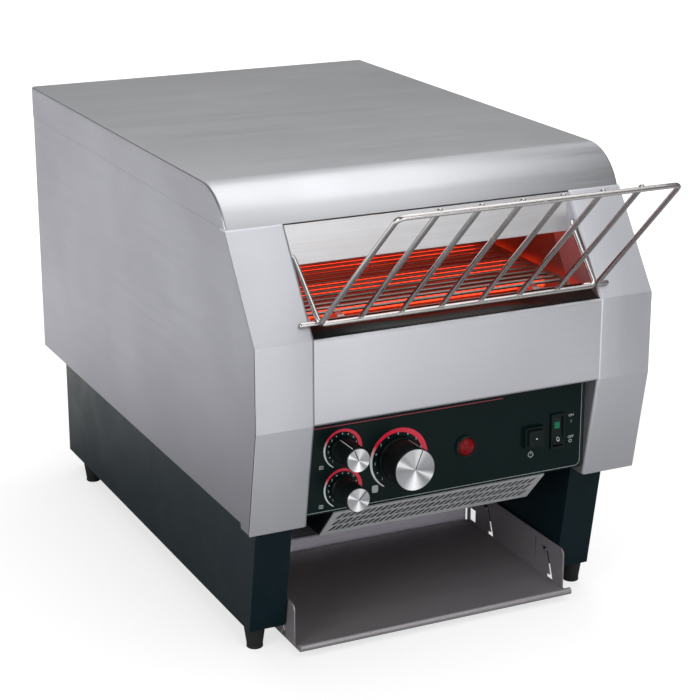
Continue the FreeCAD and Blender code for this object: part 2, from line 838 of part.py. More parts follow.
# Front panel, a shallow channel between the bezels
panel_top = s.knee_top_height - s.front_panel_gap
front = Blank("front")
front.pad("YZ_Plane", -panel_half, panel_half, [
    (0, s.knee_low_height),
    (s.front_panel_low_return, s.knee_low_height),
    (s.front_panel_low_return, s.knee_low_height + s.sheet),
    (s.sheet, s.knee_low_height + s.sheet),
    (s.sheet, panel_top - s.sheet),
    (s.front_panel_top_return, panel_top - s.sheet),
    (s.front_panel_top_return, panel_top),
    (0, panel_top),
])
node("front_panel", front.body)

# Heat shield that hangs under the hood's edge
shield_top = s.wall_top_height - s.cover_gap
shield = Blank("shield")
shield.pad("YZ_Plane", -panel_half, panel_half, [
    (s.shield_back, s.shield_height),
    (s.shield_back + s.shield_hem, s.shield_height),
    (s.shield_back + s.shield_hem, s.shield_height + s.sheet),
    (s.shield_back + s.sheet, s.shield_height + s.sheet),
    (s.shield_back + s.sheet, shield_top - s.sheet),
    (s.shield_back + s.shield_hem, shield_top - s.sheet),
    (s.shield_back + s.shield_hem, shield_top),
    (s.shield_back, shield_top),
])
node("heat_shield", shield.body)

# Rear cover with louvres, screw holes and the cord hole
cover_half = side_inner - s.cover_gap
cover_top = inner_top - s.cover_gap


def screw_places():
    """Where screws hold the rear cover, as distances across and up."""
    heights = [s.screw_low_height + row * s.screw_pitch for row in range(SCREW_ROWS)]
    return [(sign * s.screw_across, up) for up in heights for sign in (-1, 1)]


def louvre_places():
    """The low left corner of every louvre slot."""
    for row in range(LOUVRE_ROWS):
        low = s.louvre_lowest + row * s.louvre_pitch
        for sign in (-1, 1):
            yield sign * s.louvre_across - s.louvre_length / 2, low


cover = Blank("cover")
cover.pad("XZ_Plane", rear_inner, rear_face, rectangle(-cover_half, cover_half, plate_top, cover_top))
cover.pocket("XZ_Plane", rear_inner - s.overrun, rear_face + s.overrun, *[
    rectangle(left, left + s.louvre_length, low, low + s.louvre_height) for left, low in louvre_places()
], *[
    ring(across, up, s.screw_radius + s.shaft_gap) for across, up in screw_places()
], ring(-s.side_bay_middle, s.gland_height, s.gland_radius + s.shaft_gap))
node("rear_cover", cover.body)

# Bottom plate, open over the tunnel
plate_front = s.toe_back + side_shift
plate = Blank("plate")
plate.pad("XY_Plane", s.side_bottom_height, plate_top, [
    (-side_inner, plate_front),
    (-frame_half, plate_front),
    (-frame_half, s.pod_rear_back - s.pod_wall),
    (frame_half, s.pod_rear_back - s.pod_wall),
    (frame_half, plate_front),
    (side_inner, plate_front),
    (side_inner, rear_inner),
    (-side_inner, rear_inner),
])
node("bottom_plate", plate.body)

# Conveyor places: the rods sit one pitch apart all round the loop
belt_run = s.idler_back - s.belt_axis_back
chain_run = s.chain_straight_pitches * s.chain_pitch
output_back = s.belt_axis_back + chain_run * cosine(s.chain_angle)
output_height = s.belt_axis_height + chain_run * sine(s.chain_angle)


def element_places():
    """Where each heating element crosses the chamber, for the upper and the lower row."""
    backs = [s.element_first_back + i * s.element_pitch for i in range(ELEMENTS)]
    upper_row = [(back, s.upper_element_height) for back in backs]
    return upper_row, [(back, s.lower_element_height) for back in backs[:-1]]


upper_places, lower_places = element_places()


def inner_wall(name, sign):
    """One side wall of the heated chamber, with its bearing, element and shaft holes."""
    wall = Blank(name)
    low, high = (-wall_outer, -frame_half) if sign < 0 else (frame_half, wall_outer)
    wall.pad("YZ_Plane", low, high, front_line(side_shift, s.wall_top_height)[:-1] + [
        (plate_front, plate_top),
        (rear_inner, plate_top),
        (rear_inner, s.wall_top_height),
    ])
    holes = [ring(back, up, s.insulator_radius + s.shaft_gap) for back, up in upper_places + lower_places]
    for back in (s.belt_axis_back, s.idler_back):
        holes.append(ring(back, s.belt_axis_height, s.bearing_radius + s.shaft_gap))
    holes.append(ring(s.rack_hook_back, s.rack_hook_height, s.wire_radius + 2 * s.running_gap))
    if sign > 0:
        holes.append(ring(output_back, output_height, s.shaft_port_radius))
    wall.pocket("YZ_Plane", low - s.overrun, high + s.overrun, *holes)
    node(name, wall.body)


inner_wall("inner_wall_left", -1)
inner_wall("inner_wall_right", 1)

# Reflector plates above and below the belt's upper run
upper = Blank("upper")
upper.pad("YZ_Plane", -panel_half, panel_half, rectangle(
    s.shield_back + s.shield_hem + s.cover_gap, s.chute_wall_back - s.cover_gap,
    s.upper_reflector_height, s.upper_reflector_height + s.sheet))
node("upper_reflector", upper.body)
lower = Blank("lower")
lower.pad("YZ_Plane", -frame_half, frame_half, rectangle(
    s.lower_reflector_front, s.lower_reflector_rear,
    s.lower_reflector_height, s.lower_reflector_height + s.sheet))
node("lower_reflector", lower.body)

# Heating elements and the ceramic sleeves that carry them
element_half = wall_outer + s.element_overhang


def elements(name, places):
    """A row of straight heating tubes across the chamber."""
    tubes = [
        rod(f"{name}_{i}", "x", (-element_half, back, up), element_half * 2, s.element_radius)
        for i, (back, up) in enumerate(places)
    ]
    node(name, group(name, tubes))


elements("upper_elements", upper_places)
elements("lower_elements", lower_places)


def sleeve(name, start, length, back, up, outer, bore):
    """A plain round sleeve along X."""
    body = rod(name + "_body", "x", (start, back, up), length, outer)
    hole = rod(name + "_hole", "x", (start - s.overrun, back, up), length + 2 * s.overrun, bore)
    return cut(name, body, [hole])


def flanged_sleeve(name, sign, back, up, radii, flange, bore):
    """A sleeve in a side wall with its flange on the outside."""
    radius, flange_radius = radii
    start = frame_half if sign > 0 else -wall_outer - flange
    step = wall_outer if sign > 0 else -wall_outer - flange
    body = rod(name + "_body", "x", (start, back, up), s.sheet + flange, radius)
    collar = rod(name + "_collar", "x", (step, back, up), flange, flange_radius)
    hole_length = s.sheet + flange + 2 * s.overrun
    hole = rod(name + "_hole", "x", (start - s.overrun, back, up), hole_length, bore)
    return cut(name, joined(name + "_solid", [body, collar]), [hole])


insulators = [
    flanged_sleeve(f"insulator_{sign + 1}_{i}", sign, back, up,
                   (s.insulator_radius, s.insulator_flange_radius), s.insulator_flange,
                   s.element_radius + s.shaft_gap)
    for sign in (-1, 1) for i, (back, up) in enumerate(upper_places + lower_places)
]
node("element_insulators", group("element_insulators", insulators))

# Bearings, shafts and toothed wheels of the conveyor
bearings = [
    flanged_sleeve(f"bearing_{sign + 1}_{i}", sign, back, s.belt_axis_height,
                   (s.bearing_radius, s.bearing_flange_radius), s.bearing_flange,
                   s.shaft_radius + s.shaft_gap)
    for sign in (-1, 1) for i, back in enumerate((s.belt_axis_back, s.idler_back))
]
node("shaft_bearings", group("shaft_bearings", bearings))

chain_half = s.chain_inner_width / 2
shaft_left = s.bearing_face + s.shaft_overhang
shaft_right = s.chain_across + chain_half + s.shaft_overhang
node("drive_shaft", rod("drive_shaft", "x", (-shaft_left, 0, 0), shaft_left + shaft_right, s.shaft_radius),
     -shaft_left, s.belt_axis_back, s.belt_axis_height)
node("idler_shaft", rod("idler_shaft", "x", (-shaft_left, 0, 0), shaft_left * 2, s.shaft_radius),
     -shaft_left, s.idler_back, s.belt_axis_height)


def toothed_wheel(name, left, right, pitch_radius, teeth, notch, bore):
    """A wheel about X whose notches hold the rods or rollers of its loop."""
    wheel = Blank(name)
    wheel.pad("YZ_Plane", left, right, ring(0, 0, pitch_radius + s.wheel_rim), ring(0, 0, bore))
    wheel.pocket("YZ_Plane", left - s.overrun, right + s.overrun, ring(0, pitch_radius, notch))
    return wheel.around(teeth).body


def belt_wheels(name, back):
    """The pair of wheels that carries one end of the belt."""
    notch = s.belt_rod_radius + s.running_gap
    pair = []
    for sign in (-1, 1):
        middle = sign * s.belt_wheel_across
        left, right = middle - s.belt_wheel_width / 2, middle + s.belt_wheel_width / 2
        wheel = toothed_wheel(f"{name}_{sign + 1}", left, right, s.belt_radius, BELT_TEETH, notch,
                              s.shaft_radius)
        pair.append(place(wheel, 0, back, s.belt_axis_height))
    node(name, group(name, pair))


belt_wheels("drive_wheels", s.belt_axis_back)
belt_wheels("idler_wheels", s.idler_back)


def loop_places(radius, run, straight, teeth):
    """Every pitch point of a loop whose first wheel is at the origin and whose second is at +Y."""
    radius, run = float(radius), float(run)
    points = []
    for i in range(straight):
        points.append((run * i / straight, radius))
        points.append((run * (i + 1) / straight, -radius))
    for i in range(teeth // 2 + 1):
        turn = 2 * math.pi * i / teeth
        if i < teeth // 2:
            points.append((run + radius * math.sin(turn), radius * math.cos(turn)))
        if i > 0:
            points.append((-radius * math.sin(turn), radius * math.cos(turn)))
    return sorted(set((round(a, 6), round(b, 6)) for a, b in points))


def cross_bars(name, left, width, radius, places):
    """Round bars along X at the pitch points of a loop."""
    bars = [
        Part.makeCylinder(float(radius), float(width), vec(left, a, b), FreeCAD.Vector(1, 0, 0))
        for a, b in places
    ]
    return shaped(name, Part.makeCompound(bars))


def loop_band(name, left, width, radius, height, run):
    """A flat closed band along X round two wheels, one at the origin and one at +Y."""
    rims = []
    for label, rim in (("outer", radius + height / 2), ("inner", radius - height / 2)):
        overrun = 0 if label == "outer" else s.overrun
        start, length = left - overrun, width + 2 * overrun
        rims.append(joined(f"{name}_{label}", [
            rod(f"{name}_{label}_front", "x", (start, 0, 0), length, rim),
            rod(f"{name}_{label}_back", "x", (start, run, 0), length, rim),
            box(f"{name}_{label}_middle", (start, 0, -rim), (start + length, run, rim)),
        ]))
    return cut(name, rims[0], [rims[1]])


belt_points = loop_places(s.belt_radius, belt_run, BELT_STRAIGHT_PITCHES, BELT_TEETH)
belt_rods = cross_bars("conveyor_rods", -s.belt_half, s.belt_half * 2, s.belt_rod_radius, belt_points)
node("conveyor_rods", belt_rods, 0, s.belt_axis_back, s.belt_axis_height)
bands = [
    loop_band("conveyor_band_left", -s.belt_half - s.belt_band_width, s.belt_band_width, s.belt_radius,
              s.belt_band_height, belt_run),
    loop_band("conveyor_band_right", s.belt_half, s.belt_band_width, s.belt_radius,
              s.belt_band_height, belt_run),
]
node("conveyor_bands", group("conveyor_bands", bands), 0, s.belt_axis_back, s.belt_axis_height)

# Chain drive in the right side compartment
chain_left = s.chain_across - chain_half
wheel_trim = s.running_gap / 2
notch_radius = s.chain_roller_radius + s.running_gap


def chain_wheel(name, bore):
    """A chain wheel with a hub on its inner side."""
    wheel = Blank(name)
    left = chain_left + wheel_trim
    right = s.chain_across + chain_half - wheel_trim
    wheel.pad("YZ_Plane", left, right, ring(0, 0, s.chain_radius + s.wheel_rim), ring(0, 0, bore))
    wheel.pocket("YZ_Plane", left - s.overrun, right + s.overrun, ring(0, s.chain_radius, notch_radius))
    wheel.around(CHAIN_TEETH)
    turned(wheel.body, s.chain_angle)
    return wheel


shaft_wheel = chain_wheel("shaft_wheel", s.shaft_radius)
shaft_wheel.pad("YZ_Plane", chain_left + wheel_trim - s.hub_length, chain_left + wheel_trim,
                ring(0, 0, s.hub_radius), ring(0, 0, s.shaft_radius))
node("shaft_sprocket", shaft_wheel.body, 0, s.belt_axis_back, s.belt_axis_height)

box_inner_half = s.box_half - s.sheet
gearbox_face = box_inner_half - s.cover_gap
motor_wheel = chain_wheel("motor_wheel", s.output_shaft_radius)
motor_wheel.pad("YZ_Plane", gearbox_face - s.output_shaft_depth, s.chain_across + chain_half - wheel_trim,
                ring(0, 0, s.output_shaft_radius))
node("motor_sprocket", motor_wheel.body, 0, output_back, output_height)

chain_points = loop_places(s.chain_radius, chain_run, int(float(s.chain_straight_pitches)), CHAIN_TEETH)
chain_parts = [
    loop_band("chain_plate_left", chain_left - s.chain_plate, s.chain_plate, s.chain_radius,
              s.chain_plate_height, chain_run),
    loop_band("chain_plate_right", chain_left + s.chain_inner_width, s.chain_plate, s.chain_radius,
              s.chain_plate_height, chain_run),
    cross_bars("chain_rollers", chain_left, s.chain_inner_width, s.chain_roller_radius, chain_points),
]
chain = turned(group("drive_chain", chain_parts), s.chain_angle)
node("drive_chain", chain, 0, s.belt_axis_back, s.belt_axis_height)

# Gearbox and motor
gear_low_back = output_back - s.gearbox_depth / 2
gear_low_height = output_height - s.gearbox_height / 2
gearbox_start = gearbox_face - s.gearbox_length
gear = Blank("gear")
gear.pad("YZ_Plane", gearbox_start, gearbox_face, rectangle(
    gear_low_back, gear_low_back + s.gearbox_depth, gear_low_height, gear_low_height + s.gearbox_height))
gear.pocket("YZ_Plane", gearbox_face - s.output_shaft_depth - s.running_gap, gearbox_face + s.overrun,
            ring(output_back, output_height, s.output_shaft_radius + s.shaft_gap))
node("gearbox", gear.body)
motor_start = gearbox_start - s.motor_length
motor_can = rod("motor_can", "x", (motor_start, output_back, output_height), s.motor_length, s.motor_radius)
motor_cap = rod("motor_cap", "x", (motor_start - s.motor_cap_length, output_back, output_height),
                s.motor_cap_length, s.motor_cap_radius)
node("drive_motor", joined("drive_motor", [motor_can, motor_cap]))

# Return chute, with slots that drop crumbs into the tray below
chute_rise = s.belt_axis_height - s.chute_low_height
chute_length = root(chute_rise * chute_rise
                    + (s.chute_wall_back - s.chute_low_back) * (s.chute_wall_back - s.chute_low_back))
chute_drop = s.sheet * chute_length / (s.chute_wall_back - s.chute_low_back)
under_knee = s.belt_axis_height - chute_drop + s.sheet * chute_rise / (s.chute_wall_back - s.chute_low_back)
chute = Blank("chute")
chute_half = frame_half - s.cover_gap
chute.pad("YZ_Plane", -chute_half, chute_half, [
    (s.chute_low_back, s.chute_low_height - chute_drop),
    (s.chute_wall_back + s.sheet, under_knee),
    (s.chute_wall_back + s.sheet, s.chute_top_height),
    (s.chute_wall_back, s.chute_top_height),
    (s.chute_wall_back, s.belt_axis_height),
    (s.chute_low_back, s.chute_low_height),
])
chute.round(s.chute_bend_radius, "x", (s.chute_wall_back, s.belt_axis_height))
chute.round(s.chute_bend_radius + s.sheet, "x", (s.chute_wall_back + s.sheet, under_knee))
first_slot = -(CHUTE_SLOTS - 1) * s.chute_slot_pitch / 2 - s.chute_slot_width / 2
chute.pocket("XY_Plane", 0, s.belt_axis_height, *[
    rectangle(first_slot + i * s.chute_slot_pitch, first_slot + i * s.chute_slot_pitch + s.chute_slot_width,
              s.crumb_front_back + s.overrun, s.crumb_front_back + s.overrun + s.chute_slot_length)
    for i in range(CHUTE_SLOTS)
])
node("toast_chute", chute.body)

# Base pods
pod_slope = (s.pod_front_low_back - s.pod_front_top_back) / (s.side_bottom_height - s.pod_bottom_height)
pod = Blank("pod")
pod.pad("YZ_Plane", -s.pod_half, -frame_half, [
    (s.pod_front_top_back, s.side_bottom_height),
    (s.pod_front_low_back, s.pod_bottom_height),
    (s.pod_rear_back, s.pod_bottom_height),
    (s.pod_rear_back, s.side_bottom_height),
])
pod.pocket("YZ_Plane", s.pod_wall - s.pod_half, -frame_half - s.pod_wall, [
    (s.pod_front_top_back + s.pod_wall - pod_slope * s.overrun, s.side_bottom_height + s.overrun),
    (s.pod_front_low_back + s.pod_wall - pod_slope * s.pod_wall, s.pod_bottom_height + s.pod_wall),
    (s.pod_rear_back - s.pod_wall, s.pod_bottom_height + s.pod_wall),
    (s.pod_rear_back - s.pod_wall, s.side_bottom_height + s.overrun),
])
mirror_node("base_right", node("base_left", pod.body))

# Pan between the pods: a floor and a rear wall with the crumb tray's window
pan_top = s.pod_bottom_height + s.pod_wall
pan_inner = s.pod_rear_back - s.pod_wall
pan = Blank("pan")
pan.pad("YZ_Plane", -frame_half, frame_half, [
    (s.pan_front_back, s.pod_bottom_height),
    (s.pod_rear_back, s.pod_bottom_height),
    (s.pod_rear_back, s.side_bottom_height),
    (pan_inner, s.side_bottom_height),
    (pan_inner, pan_top),
    (s.pan_front_back, pan_top),
])
pan.pocket("XZ_Plane", pan_inner - s.overrun, s.pod_rear_back + s.overrun,
           rectangle(-s.pan_window_half, s.pan_window_half, pan_top, s.pan_window_height))
node("base_pan", pan.body)

# Crumb tray that slides out at the back
crumb_floor = pan_top + s.running_gap
crumb_face_back = s.pod_rear_back + s.running_gap
crumb = Blank("crumb")
crumb.pad("YZ_Plane", -s.crumb_half, s.crumb_half, rectangle(
    s.crumb_front_back, crumb_face_back, crumb_floor, crumb_floor + s.crumb_wall_height))
crumb.pocket("XY_Plane", crumb_floor + s.sheet, crumb_floor + s.crumb_wall_height + s.overrun, rectangle(
    s.sheet - s.crumb_half, s.crumb_half - s.sheet, s.crumb_front_back + s.sheet, crumb_face_back - s.sheet))
crumb.pad("YZ_Plane", -s.crumb_face_half, s.crumb_face_half, [
    (crumb_face_back, crumb_floor),
    (crumb_face_back + s.sheet, crumb_floor),
    (crumb_face_back + s.sheet, s.crumb_face_height - s.sheet),
    (crumb_face_back + s.crumb_lip, s.crumb_face_height - s.sheet),
    (crumb_face_back + s.crumb_lip, s.crumb_face_height),
    (crumb_face_back, s.crumb_face_height),
])
node("crumb_tray", crumb.body)

# Collecting tray, hung on four pins by slanted slots
tray_top = s.tray_floor_height + s.tray_flange_height
tray_floor_top = s.tray_floor_height + s.sheet
tray_lip_back = s.tray_lip_front + s.tray_lip_radius


def slanted_slot(back):
    """A narrow slot that leans forward as it goes down, with a hook at its top and a foot."""
    low = s.tray_slot_top_height - s.tray_slot_drop
    half_slit = s.tray_slit / 2
    foot = back - s.tray_slot_run
    lean = s.tray_slot_run / s.tray_slot_drop * half_slit
    half_across = root(half_slit * half_slit + lean * lean)
    return [
        (back + lean - half_across, s.tray_slot_top_height + half_slit),
        (foot - half_across, low),
        (foot - half_across, low - half_slit),
        (foot + s.tray_hook, low - half_slit),
        (foot + s.tray_hook, low + half_slit),
        (foot + lean + half_across, low + half_slit),
        (back - lean + half_across, s.tray_slot_top_height - half_slit),
        (back + s.tray_hook, s.tray_slot_top_height - half_slit),
        (back + s.tray_hook, s.tray_slot_top_height + half_slit),
    ]


tray = Blank("tray")
tray.pad("XY_Plane", s.tray_floor_height, tray_floor_top,
         rectangle(-s.tray_half, s.tray_half, tray_lip_back, s.tray_rear_back))
tray.pad("YZ_Plane", -s.tray_half, s.tray_half,
         ring(tray_lip_back, s.tray_floor_height + s.tray_lip_radius, s.tray_lip_radius))
for tray_low, tray_high in ((-s.tray_half, s.sheet - s.tray_half), (s.tray_half - s.sheet, s.tray_half)):
    tray.pad("YZ_Plane", tray_low, tray_high, rectangle(
        s.tray_front_back, s.tray_rear_back, s.tray_floor_height, tray_top))
tray.round(s.tray_corner_radius, "x", (s.tray_front_back, tray_top))
tray.pocket("YZ_Plane", -s.tray_half - s.overrun, s.tray_half + s.overrun,
            slanted_slot(s.tray_front_slot_back),
            slanted_slot(s.tray_rear_slot_back),
            rectangle(s.tray_slit_back, s.tray_slit_back + s.tray_slit / 2,
                      s.tray_slit_low_height, s.tray_slit_top_height),
            rectangle(s.tray_window_back, s.tray_window_back + s.tray_window_length,
                      s.tray_window_low_height, s.tray_window_top_height))
node("collecting_tray", tray.body)

pins = []
for pin_back in (s.tray_front_slot_back, s.tray_rear_slot_back):
    for sign in (-1, 1):
        pin_start = s.tray_half - s.tray_pin_reach if sign > 0 else -frame_half
        pin_length = frame_half - s.tray_half + s.tray_pin_reach
        pins.append(rod(f"tray_pin_{len(pins)}", "x", (pin_start, pin_back, s.tray_slot_top_height),
                        pin_length, s.tray_pin_radius))
node("tray_pins", group("tray_pins", pins))

# Rubber feet
feet = []
for foot_back in (s.foot_front_back, s.foot_rear_back):
    for sign in (-1, 1):
        label = f"foot_{len(feet)}"
        spot = (sign * s.foot_across, foot_back)
        feet.append(joined(label, [
            rod(label + "_rim", "z", (*spot, 0), s.foot_rim, s.foot_tip_radius),
            rod(label + "_cone", "z", (*spot, s.foot_rim), s.pod_bottom_height - s.foot_rim,
                s.foot_tip_radius, s.foot_top_radius),
        ]))
node("feet", group("feet", feet))

# Control box, with a sump below its floor behind the guard
panel_inner = s.panel_back + s.panel_sheet
box_wall = panel_inner + s.sheet
box_top = s.knee_low_height - s.cover_gap
sump_inner = s.sump_half - s.sheet


def stem_holes(gap):
    """The holes for the three control stems."""
    spots = ((s.small_knob_across, s.top_knob_height), (s.small_knob_across, s.bottom_knob_height),
             (s.color_knob_across, s.color_knob_height))
    return [ring(across, up, s.stem_radius + gap) for across, up in spots]


def port(across, up, width, height, gap):
    """A rectangular hole about a middle, larger than what goes through by a gap."""
    reach, rise = width / 2 + gap, height / 2 + gap
    return rectangle(across - reach, across + reach, up - rise, up + rise)


def panel_ports():
    """Every hole in the control panel and in the box's front wall."""
    return stem_holes(s.stem_hole_gap) + [
        ring(s.lamp_across, s.lamp_height, s.lamp_body_radius + s.shaft_gap),
        port(s.button_across, s.button_height, s.button_body_side, s.button_body_side, s.shaft_gap),
        port(s.rocker_across, s.rocker_height, s.rocker_body_width, s.rocker_body_height, s.shaft_gap),
    ]


fan_slot_pitch = 2 * s.fan_bore_radius / FAN_FLOOR_SLOTS
fan_left = s.fan_across - s.fan_bore_radius


def fan_slot(index):
    """One of the parallel slots in the floor under the fan, as long as the fan's duct is there."""
    left = fan_left + index * fan_slot_pitch + (fan_slot_pitch - s.fan_floor_slot_width) / 2
    off = left + s.fan_floor_slot_width / 2 - s.fan_across
    reach = root(s.fan_bore_radius * s.fan_bore_radius - off * off)
    return rectangle(left, left + s.fan_floor_slot_width, s.fan_back - reach, s.fan_back + reach)


guard_low_inner = s.guard_low_back + s.sheet
case = Blank("case")
case.pad("YZ_Plane", -s.box_half, s.box_half,
         rectangle(panel_inner, s.box_rear_back, s.box_floor_height, box_top))
case.pad("YZ_Plane", -s.sump_half, s.sump_half, [
    (s.guard_top_back, s.box_floor_height),
    (s.guard_top_back, s.guard_top_height),
    (s.guard_low_back, s.sump_height),
    (s.box_rear_back, s.sump_height),
    (s.box_rear_back, s.box_floor_height),
])
case.pocket("YZ_Plane", -box_inner_half, box_inner_half, rectangle(
    box_wall, s.box_rear_back - s.sheet, s.box_floor_height + s.sheet, box_top + s.overrun))
case.pocket("YZ_Plane", -sump_inner, sump_inner, [
    (s.guard_top_back + s.sheet, s.box_floor_height + s.sheet + s.overrun),
    (s.guard_top_back + s.sheet, s.guard_top_height),
    (guard_low_inner, s.sump_height + s.sheet),
    (s.box_rear_back - s.sheet, s.sump_height + s.sheet),
    (s.box_rear_back - s.sheet, s.box_floor_height + s.sheet + s.overrun),
])
guard_fall = s.guard_top_height - s.sump_height
guard_length = root(s.guard_run * s.guard_run + guard_fall * guard_fall)
window_half = s.sump_half - s.guard_margin
case.pocket("YZ_Plane", -window_half, window_half, [
    (s.guard_top_back - s.overrun, s.guard_top_height - s.guard_margin),
    (s.guard_low_back - s.guard_margin - s.overrun, s.sump_height + s.guard_margin),
    (s.guard_low_back - s.guard_margin + s.overrun, s.sump_height + s.guard_margin),
    (s.guard_top_back + s.overrun, s.guard_top_height - s.guard_margin),
])
case.pocket("XZ_Plane", panel_inner - s.overrun, box_wall + s.overrun, *panel_ports())
case.pocket("XY_Plane", s.sump_height - s.overrun, s.sump_height + s.sheet + s.overrun,
            *[fan_slot(i) for i in range(FAN_FLOOR_SLOTS)])
case.pocket("YZ_Plane", box_inner_half - s.overrun, s.box_half + s.overrun,
            ring(output_back, output_height, s.shaft_port_radius))
node("control_box", case.body)

panel = Blank("panel")
panel.pad("XZ_Plane", s.panel_back, panel_inner, rectangle(
    s.panel_left_gap - s.mouth_half, s.panel_right, s.panel_bottom_height, s.panel_top_height))
panel.pocket("XZ_Plane", s.panel_back - s.overrun, panel_inner + s.overrun, *panel_ports())
node("control_panel", panel.body)


def guard_shape():
    """A sheet drawn flat, with rows of leaning slots between thin strands."""
    width, length = 2 * float(s.sump_half), float(guard_length)
    margin, strand = float(s.guard_margin), float(s.guard_strand)
    row_pitch = (length - 2 * margin) / GUARD_ROWS
    column_pitch = (width - 2 * margin) / (GUARD_COLUMNS + float(s.guard_lean_share))
    slot_height = row_pitch - strand
    slot_width = column_pitch - strand
    lean = column_pitch * float(s.guard_lean_share)
    outline = [(0, 0), (width, 0), (width, length), (0, length)]
    face = Part.Face(polygon(outline))
    holes = []
    for row in range(GUARD_ROWS):
        low = margin + row * row_pitch + strand / 2
        for column in range(GUARD_COLUMNS):
            left = margin + column * column_pitch + strand / 2
            holes.append(Part.Face(polygon([
                (left, low),
                (left + slot_width, low),
                (left + slot_width + lean, low + slot_height),
                (left + lean, low + slot_height),
            ])))
    holed = face.cut(Part.makeCompound(holes))
    return holed.extrude(vec(0, 0, s.guard_sheet))


def polygon(points):
    """A closed wire in the XY plane."""
    corners = [FreeCAD.Vector(a, b, 0) for a, b in points]
    return Part.makePolygon(corners + corners[:1])


guard = shaped("vent_guard", guard_shape())
guard_tilt = math.degrees(math.atan2(float(guard_fall), -float(s.guard_run)))
guard.Placement = FreeCAD.Placement(FreeCAD.Vector(), FreeCAD.Rotation(FreeCAD.Vector(1, 0, 0), guard_tilt))
node("vent_guard", guard, -s.sump_half, s.guard_low_back, s.sump_height)

# Rear parts of the controls
switches = []
for label, across, up in (("top", s.small_knob_across, s.top_knob_height),
                          ("bottom", s.small_knob_across, s.bottom_knob_height)):
    can = box(f"switch_{label}", (across - s.switch_side / 2, box_wall, up - s.switch_side / 2),
              (across + s.switch_side / 2, box_wall + s.switch_depth, up + s.switch_side / 2))
    stem = rod(f"switch_stem_{label}", "y", (across, s.stem_front, up), box_wall - s.stem_front,
               s.stem_radius)
    switches.append(joined(f"heat_switch_{label}", [can, stem]))
node("heat_switches", group("heat_switches", switches))
pot_can = rod("pot_can", "y", (s.color_knob_across, box_wall, s.color_knob_height), s.pot_depth, s.pot_radius)
pot_stem = rod("pot_stem", "y", (s.color_knob_across, s.stem_front, s.color_knob_height),
               box_wall - s.stem_front, s.stem_radius)
node("speed_control", joined("speed_control", [pot_can, pot_stem]))

knob_back = s.panel_back - s.knob_gap
bore_radius = s.stem_radius + s.shaft_gap
bore_front = s.stem_front - s.running_gap


def knob(name, across, up, radius, cap_radius):
    """A turned knob with a shoulder, and the disc that caps it."""
    base = rod(name + "_base", "y", (across, knob_back - s.knob_shoulder, up), s.knob_shoulder, radius)
    grip_length = knob_back - s.knob_shoulder - s.knob_front
    grip = rod(name + "_grip", "y", (across, s.knob_front, up), grip_length,
               cap_radius + s.index_width / 2, radius * s.knob_taper_share)
    bore = rod(name + "_bore", "y", (across, bore_front, up), knob_back + s.overrun - bore_front, bore_radius)
    node(name + "_knob", cut(name + "_knob", joined(name + "_solid", [base, grip]), [bore]))
    disc = rod(name + "_cap", "y", (across, s.knob_front - s.knob_cap, up), s.knob_cap, cap_radius)
    node(name + "_cap", disc, across, s.knob_front - s.knob_cap, up)


knob("top_heat", s.small_knob_across, s.top_knob_height, s.small_knob_radius, s.small_cap_radius)
knob("bottom_heat", s.small_knob_across, s.bottom_knob_height, s.small_knob_radius, s.small_cap_radius)
knob("color", s.color_knob_across, s.color_knob_height, s.large_knob_radius, s.large_cap_radius)

# Lamp: a turned body with a collar, and a domed lens in front
collar_front = s.panel_back - s.lamp_collar
lamp_body = rod("lamp_stem", "y", (s.lamp_across, s.panel_back, s.lamp_height), s.lamp_body_depth,
                s.lamp_body_radius)
lamp_collar = rod("lamp_collar_disc", "y", (s.lamp_across, collar_front, s.lamp_height),
                  s.lamp_collar, s.lamp_collar_radius)
node("lamp_holder", joined("lamp_holder", [lamp_body, lamp_collar]))
lens_round = (s.lamp_radius * s.lamp_radius + s.lamp_dome * s.lamp_dome) / (2 * s.lamp_dome)
lens_middle = collar_front + lens_round - s.lamp_dome
lens_ball = doc.addObject("Part::Sphere", "lens_ball")
bind(lens_ball, "Radius", lens_round)
place(lens_ball, s.lamp_across, lens_middle, s.lamp_height)
lens_core = rod("lens_core", "y", (s.lamp_across, collar_front - 2 * s.lamp_dome, s.lamp_height),
                2 * s.lamp_dome, s.lamp_radius)
lens = doc.addObject("Part::Common", "lamp_lens")
lens.Base = lens_ball
lens.Tool = lens_core
node("lamp_lens", lens)

# Push button and its housing
frame_front = s.panel_back - s.button_frame_proud
button_cavity = s.button_side + 2 * s.cover_gap
button_front = frame_front - s.button_proud
button_back = button_front + s.button_length
holder = Blank("holder")
holder.pad("XZ_Plane", frame_front, s.panel_back,
           port(s.button_across, s.button_height, s.button_frame_side, s.button_frame_side, 0))
holder.pad("XZ_Plane", s.panel_back, s.panel_back + s.body_behind,
           port(s.button_across, s.button_height, s.button_body_side, s.button_body_side, 0))
holder.pocket("XZ_Plane", frame_front - s.overrun, button_back + s.button_travel + s.running_gap,
              port(s.button_across, s.button_height, button_cavity, button_cavity, 0))
node("button_housing", holder.body)
button = Blank("button")
button.pad("XZ_Plane", button_front, button_back,
           port(s.button_across, s.button_height, s.button_side, s.button_side, 0))
node("standby_button", button.body)

